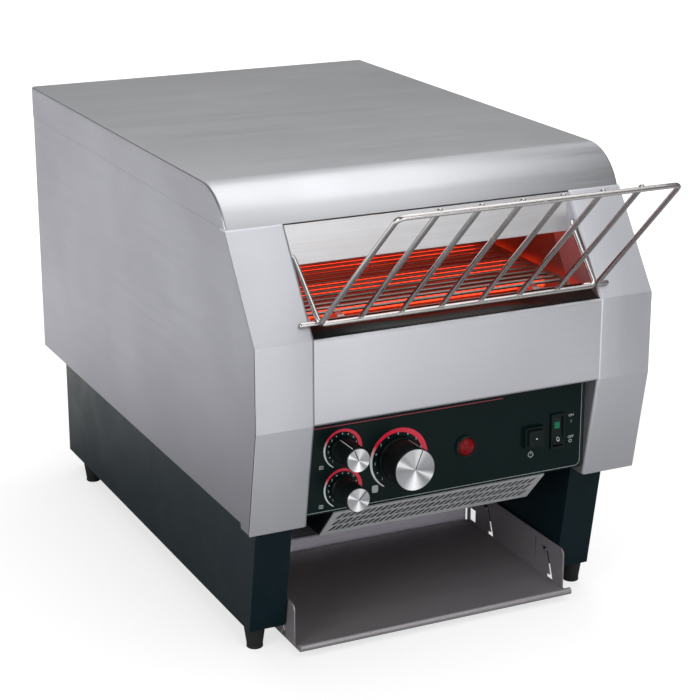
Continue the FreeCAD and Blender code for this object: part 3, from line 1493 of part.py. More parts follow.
# Rocker switch: a housing with a cavity, and a rocker on two small pins
rocker_front = s.panel_back - s.rocker_frame_proud
cavity_width = s.rocker_body_width - 2 * s.housing_wall
cavity_height = s.rocker_body_height - 2 * s.housing_wall
cavity_back = s.rocker_pivot_back + s.rocker_back_depth + 3 * s.running_gap
shell = Blank("shell")
shell.pad("XZ_Plane", rocker_front, s.panel_back,
          port(s.rocker_across, s.rocker_height, s.rocker_frame_width, s.rocker_frame_height, 0))
shell.pad("XZ_Plane", s.panel_back, s.panel_back + s.body_behind,
          port(s.rocker_across, s.rocker_height, s.rocker_body_width, s.rocker_body_height, 0))
shell.pocket("XZ_Plane", rocker_front - s.overrun, cavity_back,
             port(s.rocker_across, s.rocker_height, cavity_width, cavity_height, 0))
shell.pocket("YZ_Plane", s.rocker_across - s.rocker_body_width / 2 - s.overrun,
             s.rocker_across + s.rocker_body_width / 2 + s.overrun,
             ring(s.rocker_pivot_back, s.rocker_height, s.rocker_pin_radius + s.shaft_gap))
node("rocker_housing", shell.body)

rocker_half = s.rocker_length / 2
rocker_back_half = rocker_half * s.rocker_back_share
rocker = Blank("rocker")
rocker.pad("YZ_Plane", -s.rocker_width / 2, s.rocker_width / 2, [
    (-s.rocker_face_depth, -rocker_half),
    (s.rocker_dip - s.rocker_face_depth, 0),
    (-s.rocker_face_depth, rocker_half),
    (s.rocker_back_depth - s.rocker_dip, rocker_back_half),
    (s.rocker_back_depth, 0),
    (s.rocker_back_depth - s.rocker_dip, -rocker_back_half),
])
pin_half = s.rocker_body_width / 2 - s.shaft_gap
rocker.pad("YZ_Plane", -pin_half, pin_half, ring(0, 0, s.rocker_pin_radius))
node("power_rocker", turned(rocker.body, -s.rocker_tilt),
     s.rocker_across, s.rocker_pivot_back, s.rocker_height)

# Circuit board on standoffs at the back of the control box
board_back = s.box_rear_back - s.sheet - s.board_standoff
board_front = board_back - s.board_sheet
inset = 3 * s.board_standoff_radius
board_parts = [box("board_plate", (s.board_left, board_front, s.board_low_height),
                   (s.board_right, board_back, s.board_top_height))]
for i, (across, up) in enumerate((a, u) for a in (s.board_left + inset, s.board_right - inset)
                                 for u in (s.board_low_height + inset, s.board_top_height - inset)):
    board_parts.append(rod(f"board_standoff_{i}", "y", (across, board_back, up), s.board_standoff,
                           s.board_standoff_radius))
board_middle = (s.board_low_height + s.board_top_height) / 2
for i in range(RELAYS):
    left = s.board_left + inset + i * (s.relay_width + inset)
    relay_low = (left, board_front - s.relay_depth, board_middle - s.relay_height / 2)
    relay_high = (left + s.relay_width, board_front, board_middle + s.relay_height / 2)
    board_parts.append(box(f"board_relay_{i}", relay_low, relay_high))
node("circuit_board", group("circuit_board", board_parts))

# Terminal block beside the cord gland
block = Blank("block")
block.pad("XY_Plane", plate_top, plate_top + s.block_height, rectangle(
    -s.side_bay_middle - s.block_width / 2, s.block_width / 2 - s.side_bay_middle,
    s.block_back, s.block_back + s.block_length))
block_step = s.block_length / (TERMINALS + 1)
block.pocket("XY_Plane", plate_top + s.block_height / 2, plate_top + s.block_height + s.overrun, *[
    ring(-s.side_bay_middle, s.block_back + block_step * (i + 1), s.gland_bore_radius)
    for i in range(TERMINALS)
])
node("terminal_block", block.body)

# Cooling fan on the sump's floor
fan_low = s.sump_height + s.sheet
fan_half = s.fan_side / 2
hub_low = fan_low + s.fan_arm_height + s.running_gap
hub_height = s.fan_depth - s.fan_arm_height - 2 * s.running_gap
fan_body = box("fan_block", (s.fan_across - fan_half, s.fan_back - fan_half, fan_low),
               (s.fan_across + fan_half, s.fan_back + fan_half, fan_low + s.fan_depth))
fan_bore = rod("fan_bore", "z", (s.fan_across, s.fan_back, fan_low - s.overrun),
               s.fan_depth + 2 * s.overrun, s.fan_bore_radius)
fan_arms = [
    box("fan_arm_across", (s.fan_across - fan_half, s.fan_back - s.fan_arm_width / 2, fan_low),
        (s.fan_across + fan_half, s.fan_back + s.fan_arm_width / 2, fan_low + s.fan_arm_height)),
    box("fan_arm_along", (s.fan_across - s.fan_arm_width / 2, s.fan_back - fan_half, fan_low),
        (s.fan_across + s.fan_arm_width / 2, s.fan_back + fan_half, fan_low + s.fan_arm_height)),
    rod("fan_pin", "z", (s.fan_across, s.fan_back, fan_low), s.fan_depth / 2, s.fan_pin_radius),
]
node("fan_frame", joined("fan_frame", [cut("fan_duct", fan_body, [fan_bore])] + fan_arms))


def rotor_shape():
    """A hub with a blind bore and tilted flat blades, about its own axis."""
    hub = Part.makeCylinder(float(s.fan_hub_radius), float(hub_height))
    bore = Part.makeCylinder(float(s.fan_pin_radius + s.shaft_gap), float(s.fan_depth / 2 - s.fan_arm_height))
    width, sheet_size = float(s.fan_blade_width), float(s.fan_blade_sheet)
    length = float(s.fan_blade_radius)
    blades = []
    for i in range(FAN_BLADES):
        blade = Part.makeBox(length, width, sheet_size, FreeCAD.Vector(0, -width / 2, -sheet_size / 2))
        blade.rotate(FreeCAD.Vector(), FreeCAD.Vector(1, 0, 0), float(s.fan_blade_angle))
        blade.translate(vec(0, 0, hub_height / 2))
        blade.rotate(FreeCAD.Vector(), FreeCAD.Vector(0, 0, 1), 360 * i / FAN_BLADES)
        blades.append(blade)
    disc = Part.makeCylinder(length, float(hub_height))
    return hub.fuse([blade.common(disc) for blade in blades]).cut(bore)


node("fan_rotor", shaped("fan_rotor", rotor_shape()), s.fan_across, s.fan_back, hub_low)

# Cord gland in the rear cover
gland_start = rear_inner - s.gland_inside
gland_length = s.gland_inside + s.sheet + s.gland_reach


def gland_part(name, start, length, radius):
    """A round length of the gland on its axis."""
    return rod(name, "y", (-s.side_bay_middle, start, s.gland_height), length, radius)


gland_tube = gland_part("gland_tube", gland_start, gland_length, s.gland_radius)
gland_nut = gland_part("gland_nut", rear_face, s.gland_nut_length, s.gland_nut_radius)
gland_back_nut = gland_part("gland_back_nut", rear_inner - s.gland_nut_length, s.gland_nut_length,
                            s.gland_nut_radius)
gland_bore = gland_part("gland_bore", gland_start - s.overrun, gland_length + 2 * s.overrun,
                        s.gland_bore_radius)
gland_solid = joined("gland_solid", [gland_tube, gland_nut, gland_back_nut])
node("cord_gland", cut("cord_gland", gland_solid, [gland_bore]))

# Screws of the rear cover
screws = []
for i, (across, up) in enumerate(screw_places()):
    head = rod(f"screw_head_{i}", "y", (across, rear_face, up), s.screw_head, s.screw_head_radius)
    shank = rod(f"screw_shank_{i}", "y", (across, rear_face - s.screw_length, up), s.screw_length,
                s.screw_radius)
    screws.append(joined(f"screw_{i}", [head, shank]))
node("cover_screws", group("cover_screws", screws))

# Feed rack, bent and welded from one size of wire
def wire(a, b):
    """A round wire between two points."""
    start = vec(*a)
    direction = vec(*b) - start
    return Part.makeCylinder(float(s.wire_radius), direction.Length, start, direction)


def bead(a):
    """The rounded corner or tip of a wire."""
    return Part.makeSphere(float(s.wire_radius), vec(*a))


def rack_shape():
    """The rack's bars, ramp wires, legs and hooks in one solid."""
    low_y, low_z = float(s.rack_low_front), float(s.rack_low_height)
    top_y, top_z = float(s.rack_top_front), float(s.rack_top_height)
    slope = FreeCAD.Vector(0, top_y - low_y, top_z - low_z)
    slope.normalize()
    lift = FreeCAD.Vector(0, slope.z, -slope.y) * float(weld)
    stub_y = low_y + float(s.rack_stub_back)
    pieces = [
        wire((-s.rack_low_half, low_y, low_z), (s.rack_low_half, low_y, low_z)),
        wire((-s.rack_top_half, top_y, top_z), (s.rack_top_half, top_y, top_z)),
    ]
    for sign in (-1, 1):
        low = (sign * s.rack_low_half, low_y, low_z)
        top = (sign * s.rack_top_half, top_y, top_z)
        hook = (sign * s.rack_hook_half, s.rack_hook_back, s.rack_hook_height)
        pivot = (sign * (wall_outer + s.rack_pivot_reach), s.rack_hook_back, s.rack_hook_height)
        stub = wire((sign * (s.rack_low_half - s.rack_stub_inside), stub_y, low_z),
                    (sign * s.rack_stub_half, stub_y, low_z))
        pieces += [wire(low, top), wire(low, hook), wire(hook, pivot), stub, bead(low), bead(top), bead(hook)]
    step = 1 / (RACK_WIRES + 1)
    tip = slope * float(s.rack_wire_tip)
    for i in range(1, RACK_WIRES + 1):
        share = 2 * i * step - 1
        start = vec(s.rack_low_half * share, low_y, low_z) + lift - tip / 2
        end = vec(s.rack_top_half * share, top_y, top_z) + lift + tip
        pieces += [wire(start, end), bead(start), bead(end)]
    return pieces[0].fuse(pieces[1:]).removeSplitter()


node("feed_rack", shaped("feed_rack", rack_shape()))

doc.recompute()
faults = [obj.Name for obj in doc.Objects if "Invalid" in obj.State or "Error" in obj.State]
if faults:
    raise RuntimeError(f"failed objects: {faults}")
for name, obj in nodes.items():
    if obj.Shape.isNull() or not obj.Shape.isValid() or not obj.Shape.Solids:
        raise RuntimeError(f"{name} has no valid solid")

os.makedirs("parts", exist_ok=True)
for name, obj in nodes.items():
    obj.Shape.exportStep(f"parts/{name}.step")
whole = Part.makeCompound([obj.Shape for obj in nodes.values()]).BoundBox
print(len(nodes), "nodes", f"x {whole.XMin:.2f} {whole.XMax:.2f}", f"y {whole.YMin:.2f} {whole.YMax:.2f}",
      f"z {whole.ZMin:.2f} {whole.ZMax:.2f}")
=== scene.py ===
"""Looks of a counter-top conveyor toaster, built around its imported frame.

Sizes in the classes are millimetres in the workshop frame: y = 0 on the front panel's face, +Y to
the rear, z = 0 on the bench. A Datum turns them into the frame's metres.
"""

import logging
import math
from dataclasses import dataclass
from enum import Enum
from typing import Sequence

import bmesh
import bpy
import numpy as np
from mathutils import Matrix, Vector


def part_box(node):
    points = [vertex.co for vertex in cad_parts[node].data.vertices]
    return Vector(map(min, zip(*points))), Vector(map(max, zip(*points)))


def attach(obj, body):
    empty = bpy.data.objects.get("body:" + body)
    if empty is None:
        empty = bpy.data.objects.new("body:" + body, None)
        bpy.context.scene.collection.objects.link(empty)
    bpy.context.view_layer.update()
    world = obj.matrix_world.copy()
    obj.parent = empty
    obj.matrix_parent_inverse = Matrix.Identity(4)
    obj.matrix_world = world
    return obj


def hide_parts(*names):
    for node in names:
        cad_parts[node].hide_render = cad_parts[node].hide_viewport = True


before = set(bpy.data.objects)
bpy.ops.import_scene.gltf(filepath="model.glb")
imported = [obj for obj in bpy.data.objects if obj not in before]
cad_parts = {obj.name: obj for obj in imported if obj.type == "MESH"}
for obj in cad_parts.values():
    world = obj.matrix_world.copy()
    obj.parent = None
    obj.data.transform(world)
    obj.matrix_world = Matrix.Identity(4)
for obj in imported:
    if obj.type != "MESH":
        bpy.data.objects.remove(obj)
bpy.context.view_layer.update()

LOG = logging.getLogger("conveyor_toaster")
MM = 0.001
MERGE = 1e-6
SHARP = 38.0
BEVELLED = 35.0
CAP_FACE = -14.0
KNOB_SPOTS = {"top_heat": (-100.34, 189.6), "bottom_heat": (-100.34, 155.2), "color": (-48.84, 172.7)}
Array = np.ndarray
Colour = tuple[float, float, float]
Place = tuple[float, float, float]
Value = object
Path = Sequence[Sequence[float]]
Piece = bpy.types.Object
Material = bpy.types.Material
Tree = bpy.types.NodeTree
Node = bpy.types.Node
Socket = bpy.types.NodeSocket


class Side(Enum):
    """A side of the machine, as the sign of X."""

    LEFT = -1
    RIGHT = 1


class Grain(Enum):
    """The way a brushed sheet's scratches run, as a pattern's scale along X, Y and Z."""

    ACROSS = (22.0, 1500.0, 1500.0)
    DEPTH = (1500.0, 22.0, 1500.0)
    UPRIGHT = (1500.0, 1500.0, 22.0)


# Places and meshes


@dataclass(frozen=True)
class Datum:
    """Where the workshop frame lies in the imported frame.

    Attributes:
        front: the front panel's face along Y, in metres.
    """

    front: float

    def place(self, points: Array) -> Array:
        """Turns workshop millimetres into the frame's metres.

        Args:
            points: any array whose last axis is x, y, z.

        Returns:
            The same points in metres.
        """
        return np.asarray(points, dtype=float) * MM + np.array([0.0, self.front, 0.0])


DATUM = Datum(front=float(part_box("front_panel")[0][1]))


def mesh_piece(name: str, points: Array, faces: Sequence[Sequence[int]],
               smooth: bool = True) -> Piece:
    """Makes a mesh object at the origin from workshop millimetres.

    Args:
        name: the piece's name.
        points: vertex places, one row each.
        faces: vertex numbers of each face.
        smooth: whether its faces shade smoothly.

    Returns:
        The new object, linked to the scene.
    """
    mesh = bpy.data.meshes.new(name)
    mesh.from_pydata(DATUM.place(points).tolist(), [], [list(map(int, face)) for face in faces])
    mesh.polygons.foreach_set("use_smooth", np.full(len(mesh.polygons), smooth))
    mesh.update()
    piece = bpy.data.objects.new(name, mesh)
    bpy.context.scene.collection.objects.link(piece)
    return piece


def grid_faces(rows: int, columns: int, wrap_rows: bool = False, wrap_columns: bool = False) -> Array:
    """Numbers the quads of a grid of points, row by row.

    Args:
        rows: points along the first axis.
        columns: points along the second axis.
        wrap_rows: whether the last row joins the first.
        wrap_columns: whether the last column joins the first.

    Returns:
        An array of four vertex numbers per quad.
    """
    first = np.arange(rows if wrap_rows else rows - 1)[:, None]
    second = np.arange(columns if wrap_columns else columns - 1)[None, :]
    after_first = (first + 1) % rows
    after_second = (second + 1) % columns
    corners = [first * columns + second, first * columns + after_second,
               after_first * columns + after_second, after_first * columns + second]
    return np.stack([np.broadcast_to(c, (first.size, second.size)) for c in corners], axis=-1).reshape(-1, 4)


def mend(piece: Piece) -> Piece:
    """Merges doubled points and turns the faces of a closed piece outwards.

    Args:
        piece: the mesh object to mend.

    Returns:
        The same object.
    """
    work = bmesh.new()
    work.from_mesh(piece.data)
    bmesh.ops.remove_doubles(work, verts=work.verts, dist=MERGE)
    bmesh.ops.recalc_face_normals(work, faces=work.faces)
    work.to_mesh(piece.data)
    work.free()
    piece.data.set_sharp_from_angle(angle=math.radians(SHARP))
    return piece


def join(name: str, pieces: Sequence[Piece]) -> Piece:
    """Joins mesh objects at the origin into one.

    Args:
        name: the joined piece's name.
        pieces: the objects, which are used up.

    Returns:
        The joined object.
    """
    work = bmesh.new()
    for piece in pieces:
        work.from_mesh(piece.data)
        bpy.data.objects.remove(piece)
    mesh = bpy.data.meshes.new(name)
    work.to_mesh(mesh)
    work.free()
    joined = bpy.data.objects.new(name, mesh)
    bpy.context.scene.collection.objects.link(joined)
    return joined


def lathe(name: str, profile: Array, centre: Sequence[float], axis: str,
          segments: int = 64) -> Piece:
    """Turns a profile about an axis: each point (r, t) becomes a ring of radius r at height t.

    Args:
        name: the piece's name.
        profile: rows of radius and height along the axis; radius 0 closes an end.
        centre: the point that heights are counted from.
        axis: "y" or "z".
        segments: sides of each ring.

    Returns:
        The closed piece.
    """
    turn = np.linspace(0.0, 2 * np.pi, segments, endpoint=False)
    radius, height = np.asarray(profile, float).T[:, :, None]
    first, second = radius * np.cos(turn), radius * np.sin(turn)
    along = height + np.zeros_like(turn)
    order = {"y": (second, along, first), "z": (first, second, along)}[axis]
    points = np.stack(order, axis=-1) + np.asarray(centre, float)
    rows = len(profile)
    return mend(mesh_piece(name, points.reshape(-1, 3), grid_faces(rows, segments, wrap_columns=True)))


def sweep(name: str, path: Array, radius: float, sides: int = 12) -> Piece:
    """Carries a circle along a path, kept square to it, with domed ends.

    Args:
        name: the piece's name.
        path: points along the middle line.
        radius: the wire's radius.
        sides: sides of each ring.

    Returns:
        The closed piece.
    """
    path = np.asarray(path, float)
    steps = np.gradient(path, axis=0)
    steps /= np.linalg.norm(steps, axis=1, keepdims=True)
    spread = path.max(axis=0) - path.min(axis=0)
    guide = np.eye(3)[int(np.argmin(spread))] + 0.01
    side = np.cross(steps, guide)
    side /= np.linalg.norm(side, axis=1, keepdims=True)
    up = np.cross(side, steps)
    turn = np.linspace(0.0, 2 * np.pi, sides, endpoint=False)
    circle = side[:, None, :] * np.cos(turn)[None, :, None] + up[:, None, :] * np.sin(turn)[None, :, None]
    rings = path[:, None, :] + circle * radius
    dome = np.linspace(0.0, 0.5 * np.pi, 5)[:, None, None]
    start = path[0] + radius * (circle[0][None] * np.sin(dome) + steps[0] * (1 - np.cos(dome)))
    end = path[-1] + radius * (circle[-1][None] * np.cos(dome) + steps[-1] * (np.sin(dome) - 1))
    rings = np.concatenate([start, rings[1:-1], end])
    return mend(mesh_piece(name, rings.reshape(-1, 3), grid_faces(len(rings), sides, wrap_columns=True)))


def rounded_path(points: Path, radius: float, steps: int = 7, pitch: float = 12.0) -> Array:
    """Runs straight between points and turns each corner on an arc tangent to both runs.

    Args:
        points: the corners of the path.
        radius: the arcs' radius.
        steps: points on each arc.
        pitch: the largest gap between points on a straight run.

    Returns:
        The path's points.
    """
    corners = np.asarray(points, float)
    parts = [corners[:1]]
    for before, corner, after in zip(corners[:-2], corners[1:-1], corners[2:]):
        back = (before - corner) / np.linalg.norm(before - corner)
        ahead = (after - corner) / np.linalg.norm(after - corner)
        half = 0.5 * np.arccos(np.clip(back @ ahead, -1.0, 1.0))
        middle = (back + ahead) / np.linalg.norm(back + ahead)
        centre = corner + middle * radius / np.sin(half)
        start = corner + back * radius / np.tan(half) - centre
        end = corner + ahead * radius / np.tan(half) - centre
        share = np.linspace(0.0, 1.0, steps)[:, None]
        total = np.pi - 2 * half
        arc = (start * np.sin((1 - share) * total) + end * np.sin(share * total)) / np.sin(total)
        parts.append(centre + arc)
    parts.append(corners[-1:])
    dense = np.concatenate(parts)
    runs = [np.linspace(a, b, max(1, int(np.linalg.norm(b - a) / pitch)), endpoint=False)
            for a, b in zip(dense[:-1], dense[1:]) if np.linalg.norm(b - a) > 1e-6]
    return np.concatenate(runs + [dense[-1:]])


def slab(name: str, outline: Array, thickness: Array) -> Piece:
    """Gives a flat outline a thickness: the outline is copied once along a vector and the rim is joined.

    Args:
        name: the piece's name.
        outline: corner places round the face.
        thickness: the vector from the first face to the second.

    Returns:
        The closed piece with flat shading.
    """
    outline = np.asarray(outline, float)
    count = len(outline)
    points = np.concatenate([outline, outline + np.asarray(thickness, float)])
    around = np.arange(count)
    after = (around + 1) % count
    rim = np.stack([around, after, after + count, around + count], axis=-1).tolist()
    faces = rim + [around[::-1].tolist(), (around + count).tolist()]
    return mend(mesh_piece(name, points, faces, smooth=False))


def shell(name: str, outer: Array, inner: Array) -> Piece:
    """Closes two matching grids of points into one solid sheet.

    Args:
        name: the piece's name.
        outer: the outer face's points, rows by columns.
        inner: the inner face's points in the same order.

    Returns:
        The closed piece.
    """
    rows, columns = outer.shape[:2]
    points = np.concatenate([outer, inner[:, ::-1]], axis=1).reshape(-1, 3)
    first = np.arange(columns - 1)
    cap = np.stack([first, first + 1, 2 * columns - 2 - first, 2 * columns - 1 - first], axis=-1)
    sides = grid_faces(rows, 2 * columns, wrap_columns=True)
    faces = np.concatenate([sides, cap, cap + (rows - 1) * 2 * columns])
    return mend(mesh_piece(name, points, faces))


def ruled(across: Array, section: Array) -> Array:
    """Carries a section's points across: rows follow the section, and columns follow x."""
    return np.stack(np.broadcast_arrays(across[None, :], section[:, 1:2], section[:, 2:3]), axis=-1)


def soften(piece: Piece, width: float, segments: int = 2) -> Piece:
    """Adds a small bevel to a piece's sharp edges.

    Args:
        piece: the object.
        width: the bevel's width in millimetres.
        segments: faces across the bevel.

    Returns:
        The same object.
    """
    bevel = piece.modifiers.new("soft_edges", "BEVEL")
    bevel.width = width * MM
    bevel.segments = segments
    bevel.limit_method = "ANGLE"
    bevel.angle_limit = math.radians(BEVELLED)
    bevel.harden_normals = True
    return piece


def thicken(piece: Piece, thickness: float) -> Piece:
    """Gives a sheet its thickness behind the drawn face.

    Args:
        piece: a sheet whose faces point outwards.
        thickness: the sheet's thickness in millimetres.

    Returns:
        The same object.
    """
    wall = piece.modifiers.new("sheet", "SOLIDIFY")
    wall.thickness = thickness * MM
    wall.offset = -1.0
    wall.use_even_offset = True
    return piece


def lettering(name: str, words: str, size: float, place: Sequence[float], thickness: float) -> Piece:
    """Sets plain figures or letters flat on a plane that faces the front.

    Args:
        name: the piece's name.
        words: what it says.
        size: the letters' height in millimetres.
        place: the middle of the words on the plane.
        thickness: how far they stand out, in millimetres.

    Returns:
        The lettering as a mesh with its place in its points.
    """
    curve = bpy.data.curves.new(name, "FONT")
    curve.body = words
    curve.size = size / 0.7
    curve.align_x = "CENTER"
    curve.align_y = "CENTER"
    curve.resolution_u = 3
    carrier = bpy.data.objects.new(name + "_outline", curve)
    bpy.context.scene.collection.objects.link(carrier)
    flat = bpy.data.meshes.new_from_object(carrier.evaluated_get(bpy.context.evaluated_depsgraph_get()))
    bpy.data.objects.remove(carrier)
    local = np.empty(len(flat.vertices) * 3)
    flat.vertices.foreach_get("co", local)
    local = local.reshape(-1, 3)
    x, y, z = place
    points = np.stack([local[:, 0] + x, np.full(len(local), y - thickness), local[:, 1] + z], axis=-1)
    faces = [list(face.vertices) for face in flat.polygons]
    bpy.data.meshes.remove(flat)
    return mesh_piece(name, points, faces, smooth=False)


# Shader nodes


class Graph:
    """A node tree with short calls for adding and joining nodes."""

    def __init__(self, tree: Tree) -> None:
        """Keeps the tree that the calls work on."""
        self.tree = tree

    def feed(self, socket: Socket, value: Value) -> None:
        """Links a socket to another, or sets its number or colour.

        Args:
            socket: the input.
            value: an output socket, a number, or a tuple of numbers.
        """
        if isinstance(value, Socket):
            self.tree.links.new(value, socket)
        elif isinstance(value, tuple) and len(value) == 3 and socket.type == "RGBA":
            socket.default_value = (*value, 1.0)
        else:
            socket.default_value = value

    def add(self, kind: str, inputs: dict[str | int, Value] | None = None, **settings: Value) -> Node:
        """Adds a node.

        Args:
            kind: the node's type name after "ShaderNode".
            inputs: values or links of its sockets, by name or number.
            **settings: properties of the node.

        Returns:
            The node.
        """
        node = self.tree.nodes.new("ShaderNode" + kind)
        for key, value in settings.items():
            setattr(node, key, value)
        for key, value in (inputs or {}).items():
            self.feed(node.inputs[key], value)
        return node

    def math(self, operation: str, first: Value, second: Value = 0.0, clamp: bool = False) -> Socket:
        """Adds a Math node and gives its output."""
        return self.add("Math", {0: first, 1: second}, operation=operation, use_clamp=clamp).outputs[0]

    def mix(self, share: Value, first: Value, second: Value) -> Socket:
        """Mixes two colours and gives the result."""
        return self.add("Mix", {0: share, 6: first, 7: second}, data_type="RGBA").outputs[2]

    def span(self, value: Value, low: float, high: float, to_low: float, to_high: float) -> Socket:
        """Maps a value from one range to another and gives the result."""
        return self.add("MapRange", {0: value, 1: low, 2: high, 3: to_low, 4: to_high}).outputs[0]

    def group(self, tree: Tree, inputs: dict[str, Value]) -> Node:
        """Places a node group with its own values."""
        node = self.tree.nodes.new("ShaderNodeGroup")
        node.node_tree = tree
        for key, value in inputs.items():
            self.feed(node.inputs[key], value)
        return node


def new_group(name: str, inputs: dict[str, tuple[str, Value]],
              outputs: dict[str, str]) -> tuple[Graph, Node, dict[str, Socket]]:
    """Starts a shader node group with named sockets.

    Args:
        name: the group's name.
        inputs: socket type and default value by name.
        outputs: socket type by name.

    Returns:
        The graph to draw in, its output node, and the input sockets by name.
    """
    tree = bpy.data.node_groups.new(name, "ShaderNodeTree")
    for key, (kind, value) in inputs.items():
        tree.interface.new_socket(key, in_out="INPUT", socket_type=kind).default_value = value
    for key, kind in outputs.items():
        tree.interface.new_socket(key, in_out="OUTPUT", socket_type=kind)
    graph = Graph(tree)
    entry = tree.nodes.new("NodeGroupInput")
    leave = tree.nodes.new("NodeGroupOutput")
    return graph, leave, {key: entry.outputs[key] for key in inputs}


class Effects:
    """Node groups that several finishes share, each built once."""

    def __init__(self) -> None:
        """Builds the groups."""
        self.scratches = self.build_scratches()
        self.clouds = self.build_clouds()
        self.specks = self.build_specks()

    def build_scratches(self) -> Tree:
        """Streaks along one axis: noise stretched by a scale vector, in a fine and a coarse layer.

        Returns:
            The group, whose output "Streak" runs from 0 to 1.
        """
        stretch = {"Stretch": ("NodeSocketVector", (1.0, 1.0, 1.0))}
        graph, leave, given = new_group("Brushed scratches", stretch, {"Streak": "NodeSocketFloat"})
        spot = graph.add("TexCoord").outputs["Object"]
        near = graph.add("VectorMath", {0: spot, 1: given["Stretch"]}, operation="MULTIPLY").outputs[0]
        far = graph.add("VectorMath", {0: near, "Scale": 0.23}, operation="SCALE").outputs[0]
        fine = graph.add("TexNoise", {"Vector": near, "Scale": 1.0, "Detail": 3.0,
                                      "Roughness": 0.6}).outputs[0]
        coarse = graph.add("TexNoise", {"Vector": far, "Scale": 1.0, "Detail": 2.0,
                                        "Roughness": 0.5}).outputs[0]
        total = graph.math("ADD", graph.math("MULTIPLY", fine, 0.6), graph.math("MULTIPLY", coarse, 0.4))
        graph.feed(leave.inputs["Streak"], graph.span(total, 0.3, 0.7, 0.0, 1.0))
        return graph.tree

    def build_clouds(self) -> Tree:
        """Soft uneven patches.

        Returns:
            The group, whose output "Cloud" runs from 0 to 1.
        """
        graph, leave, given = new_group("Soft clouds", {"Size": ("NodeSocketFloat", 12.0),
                                                        "Sharpness": ("NodeSocketFloat", 0.5)},
                                        {"Cloud": "NodeSocketFloat"})
        spot = graph.add("TexCoord").outputs["Object"]
        noise = graph.add("TexNoise", {"Vector": spot, "Scale": given["Size"], "Detail": 4.0,
                                       "Roughness": given["Sharpness"], "Distortion": 0.4}).outputs[0]
        graph.feed(leave.inputs["Cloud"], graph.span(noise, 0.32, 0.68, 0.0, 1.0))
        return graph.tree

    def build_specks(self) -> Tree:
        """Small scattered specks: noise above a threshold.

        Returns:
            The group, whose output "Speck" is 1 on a speck and 0 elsewhere.
        """
        graph, leave, given = new_group("Specks", {"Size": ("NodeSocketFloat", 400.0),
                                                   "Amount": ("NodeSocketFloat", 0.3)},
                                        {"Speck": "NodeSocketFloat"})
        spot = graph.add("TexCoord").outputs["Object"]
        noise = graph.add("TexNoise", {"Vector": spot, "Scale": given["Size"], "Detail": 2.0}).outputs[0]
        edge = graph.math("SUBTRACT", 0.86, graph.math("MULTIPLY", given["Amount"], 0.4))
        over = graph.math("MULTIPLY", graph.math("SUBTRACT", noise, edge), 18.0, clamp=True)
        graph.feed(leave.inputs["Speck"], over)
        return graph.tree


EFFECTS = Effects()


def soft_cloud(graph: Graph, size: float, sharpness: float) -> Socket:
    """Places the group of soft patches and gives its value."""
    return graph.group(EFFECTS.clouds, {"Size": size, "Sharpness": sharpness}).outputs["Cloud"]


def roughen(graph: Graph, shader: Node, share: Value, low: float, high: float) -> None:
    """Runs the shader's roughness from one value to another as a share runs from 0 to 1."""
    graph.feed(shader.inputs["Roughness"], graph.span(share, 0, 1, low, high))


def paint(graph: Graph, shader: Node, share: Value, first: Value, second: Value) -> None:
    """Mixes two colours by a share for the shader's base colour."""
    graph.feed(shader.inputs["Base Color"], graph.mix(share, first, second))


def start_material(name: str) -> tuple[Material, Graph, Node]:
    """Starts a material with one Principled shader.

    Args:
        name: the material's name.

    Returns:
        The material, its graph and the shader.
    """
    material = bpy.data.materials.new(name)
    material.use_nodes = True
    graph = Graph(material.node_tree)
    shader = material.node_tree.nodes["Principled BSDF"]
    return material, graph, shader


def bump(graph: Graph, shader: Node, height: Value, strength: float, distance: float) -> None:
    """Feeds a height through a Bump node into a shader.

    Args:
        graph: the material's graph.
        shader: the Principled shader.
        height: the height's socket, from 0 to 1.
        strength: the bump's strength.
        distance: the real height of the relief, in millimetres.
    """
    relief = graph.add("Bump", {"Strength": strength, "Distance": distance * MM, "Height": height})
    graph.feed(shader.inputs["Normal"], relief.outputs["Normal"])


@dataclass(frozen=True)
class BrushedSteel:
    """Brushed sheet steel with fine straight scratches and faint clouds.

    Attributes:
        name: the material's name.
        tone: the metal's colour.
        grain: the way its scratches run.
        roughness: the middle roughness.
        contrast: how much the scratches change its colour.
        tint: what heat or handling leaves of the colour in patches.
        tinted: how strong the patches are.
        metallic: less than 1 where a dull skin scatters part of the light.
    """

    name: str
    tone: Colour = (0.56, 0.57, 0.6)
    grain: Grain = Grain.ACROSS
    roughness: float = 0.38
    contrast: float = 0.1
    tint: Colour = (0.8, 0.79, 0.78)
    tinted: float = 0.25
    metallic: float = 1.0

    def material(self) -> Material:
        """Builds the material.

        Returns:
            The finished material.
        """
        material, graph, shader = start_material(self.name)
        streak = graph.group(EFFECTS.scratches, {"Stretch": self.grain.value}).outputs["Streak"]
        cloud = soft_cloud(graph, 7.0, 0.5)
        dark = tuple(channel * (1 - self.contrast) for channel in self.tone)
        bright = tuple(min(1.0, channel * (1 + self.contrast)) for channel in self.tone)
        metal = graph.mix(streak, dark, bright)
        patch = graph.math("MULTIPLY", cloud, self.tinted)
        worn = tuple(tone * share for tone, share in zip(self.tone, self.tint))
        graph.feed(shader.inputs["Base Color"], graph.mix(patch, metal, worn))
        rough = graph.math("ADD", graph.span(streak, 0, 1, self.roughness - 0.05, self.roughness + 0.06),
                           graph.math("MULTIPLY", cloud, 0.05))
        graph.feed(shader.inputs["Roughness"], rough)
        shader.inputs["Metallic"].default_value = self.metallic
        bump(graph, shader, streak, 0.12, 0.02)
        return material


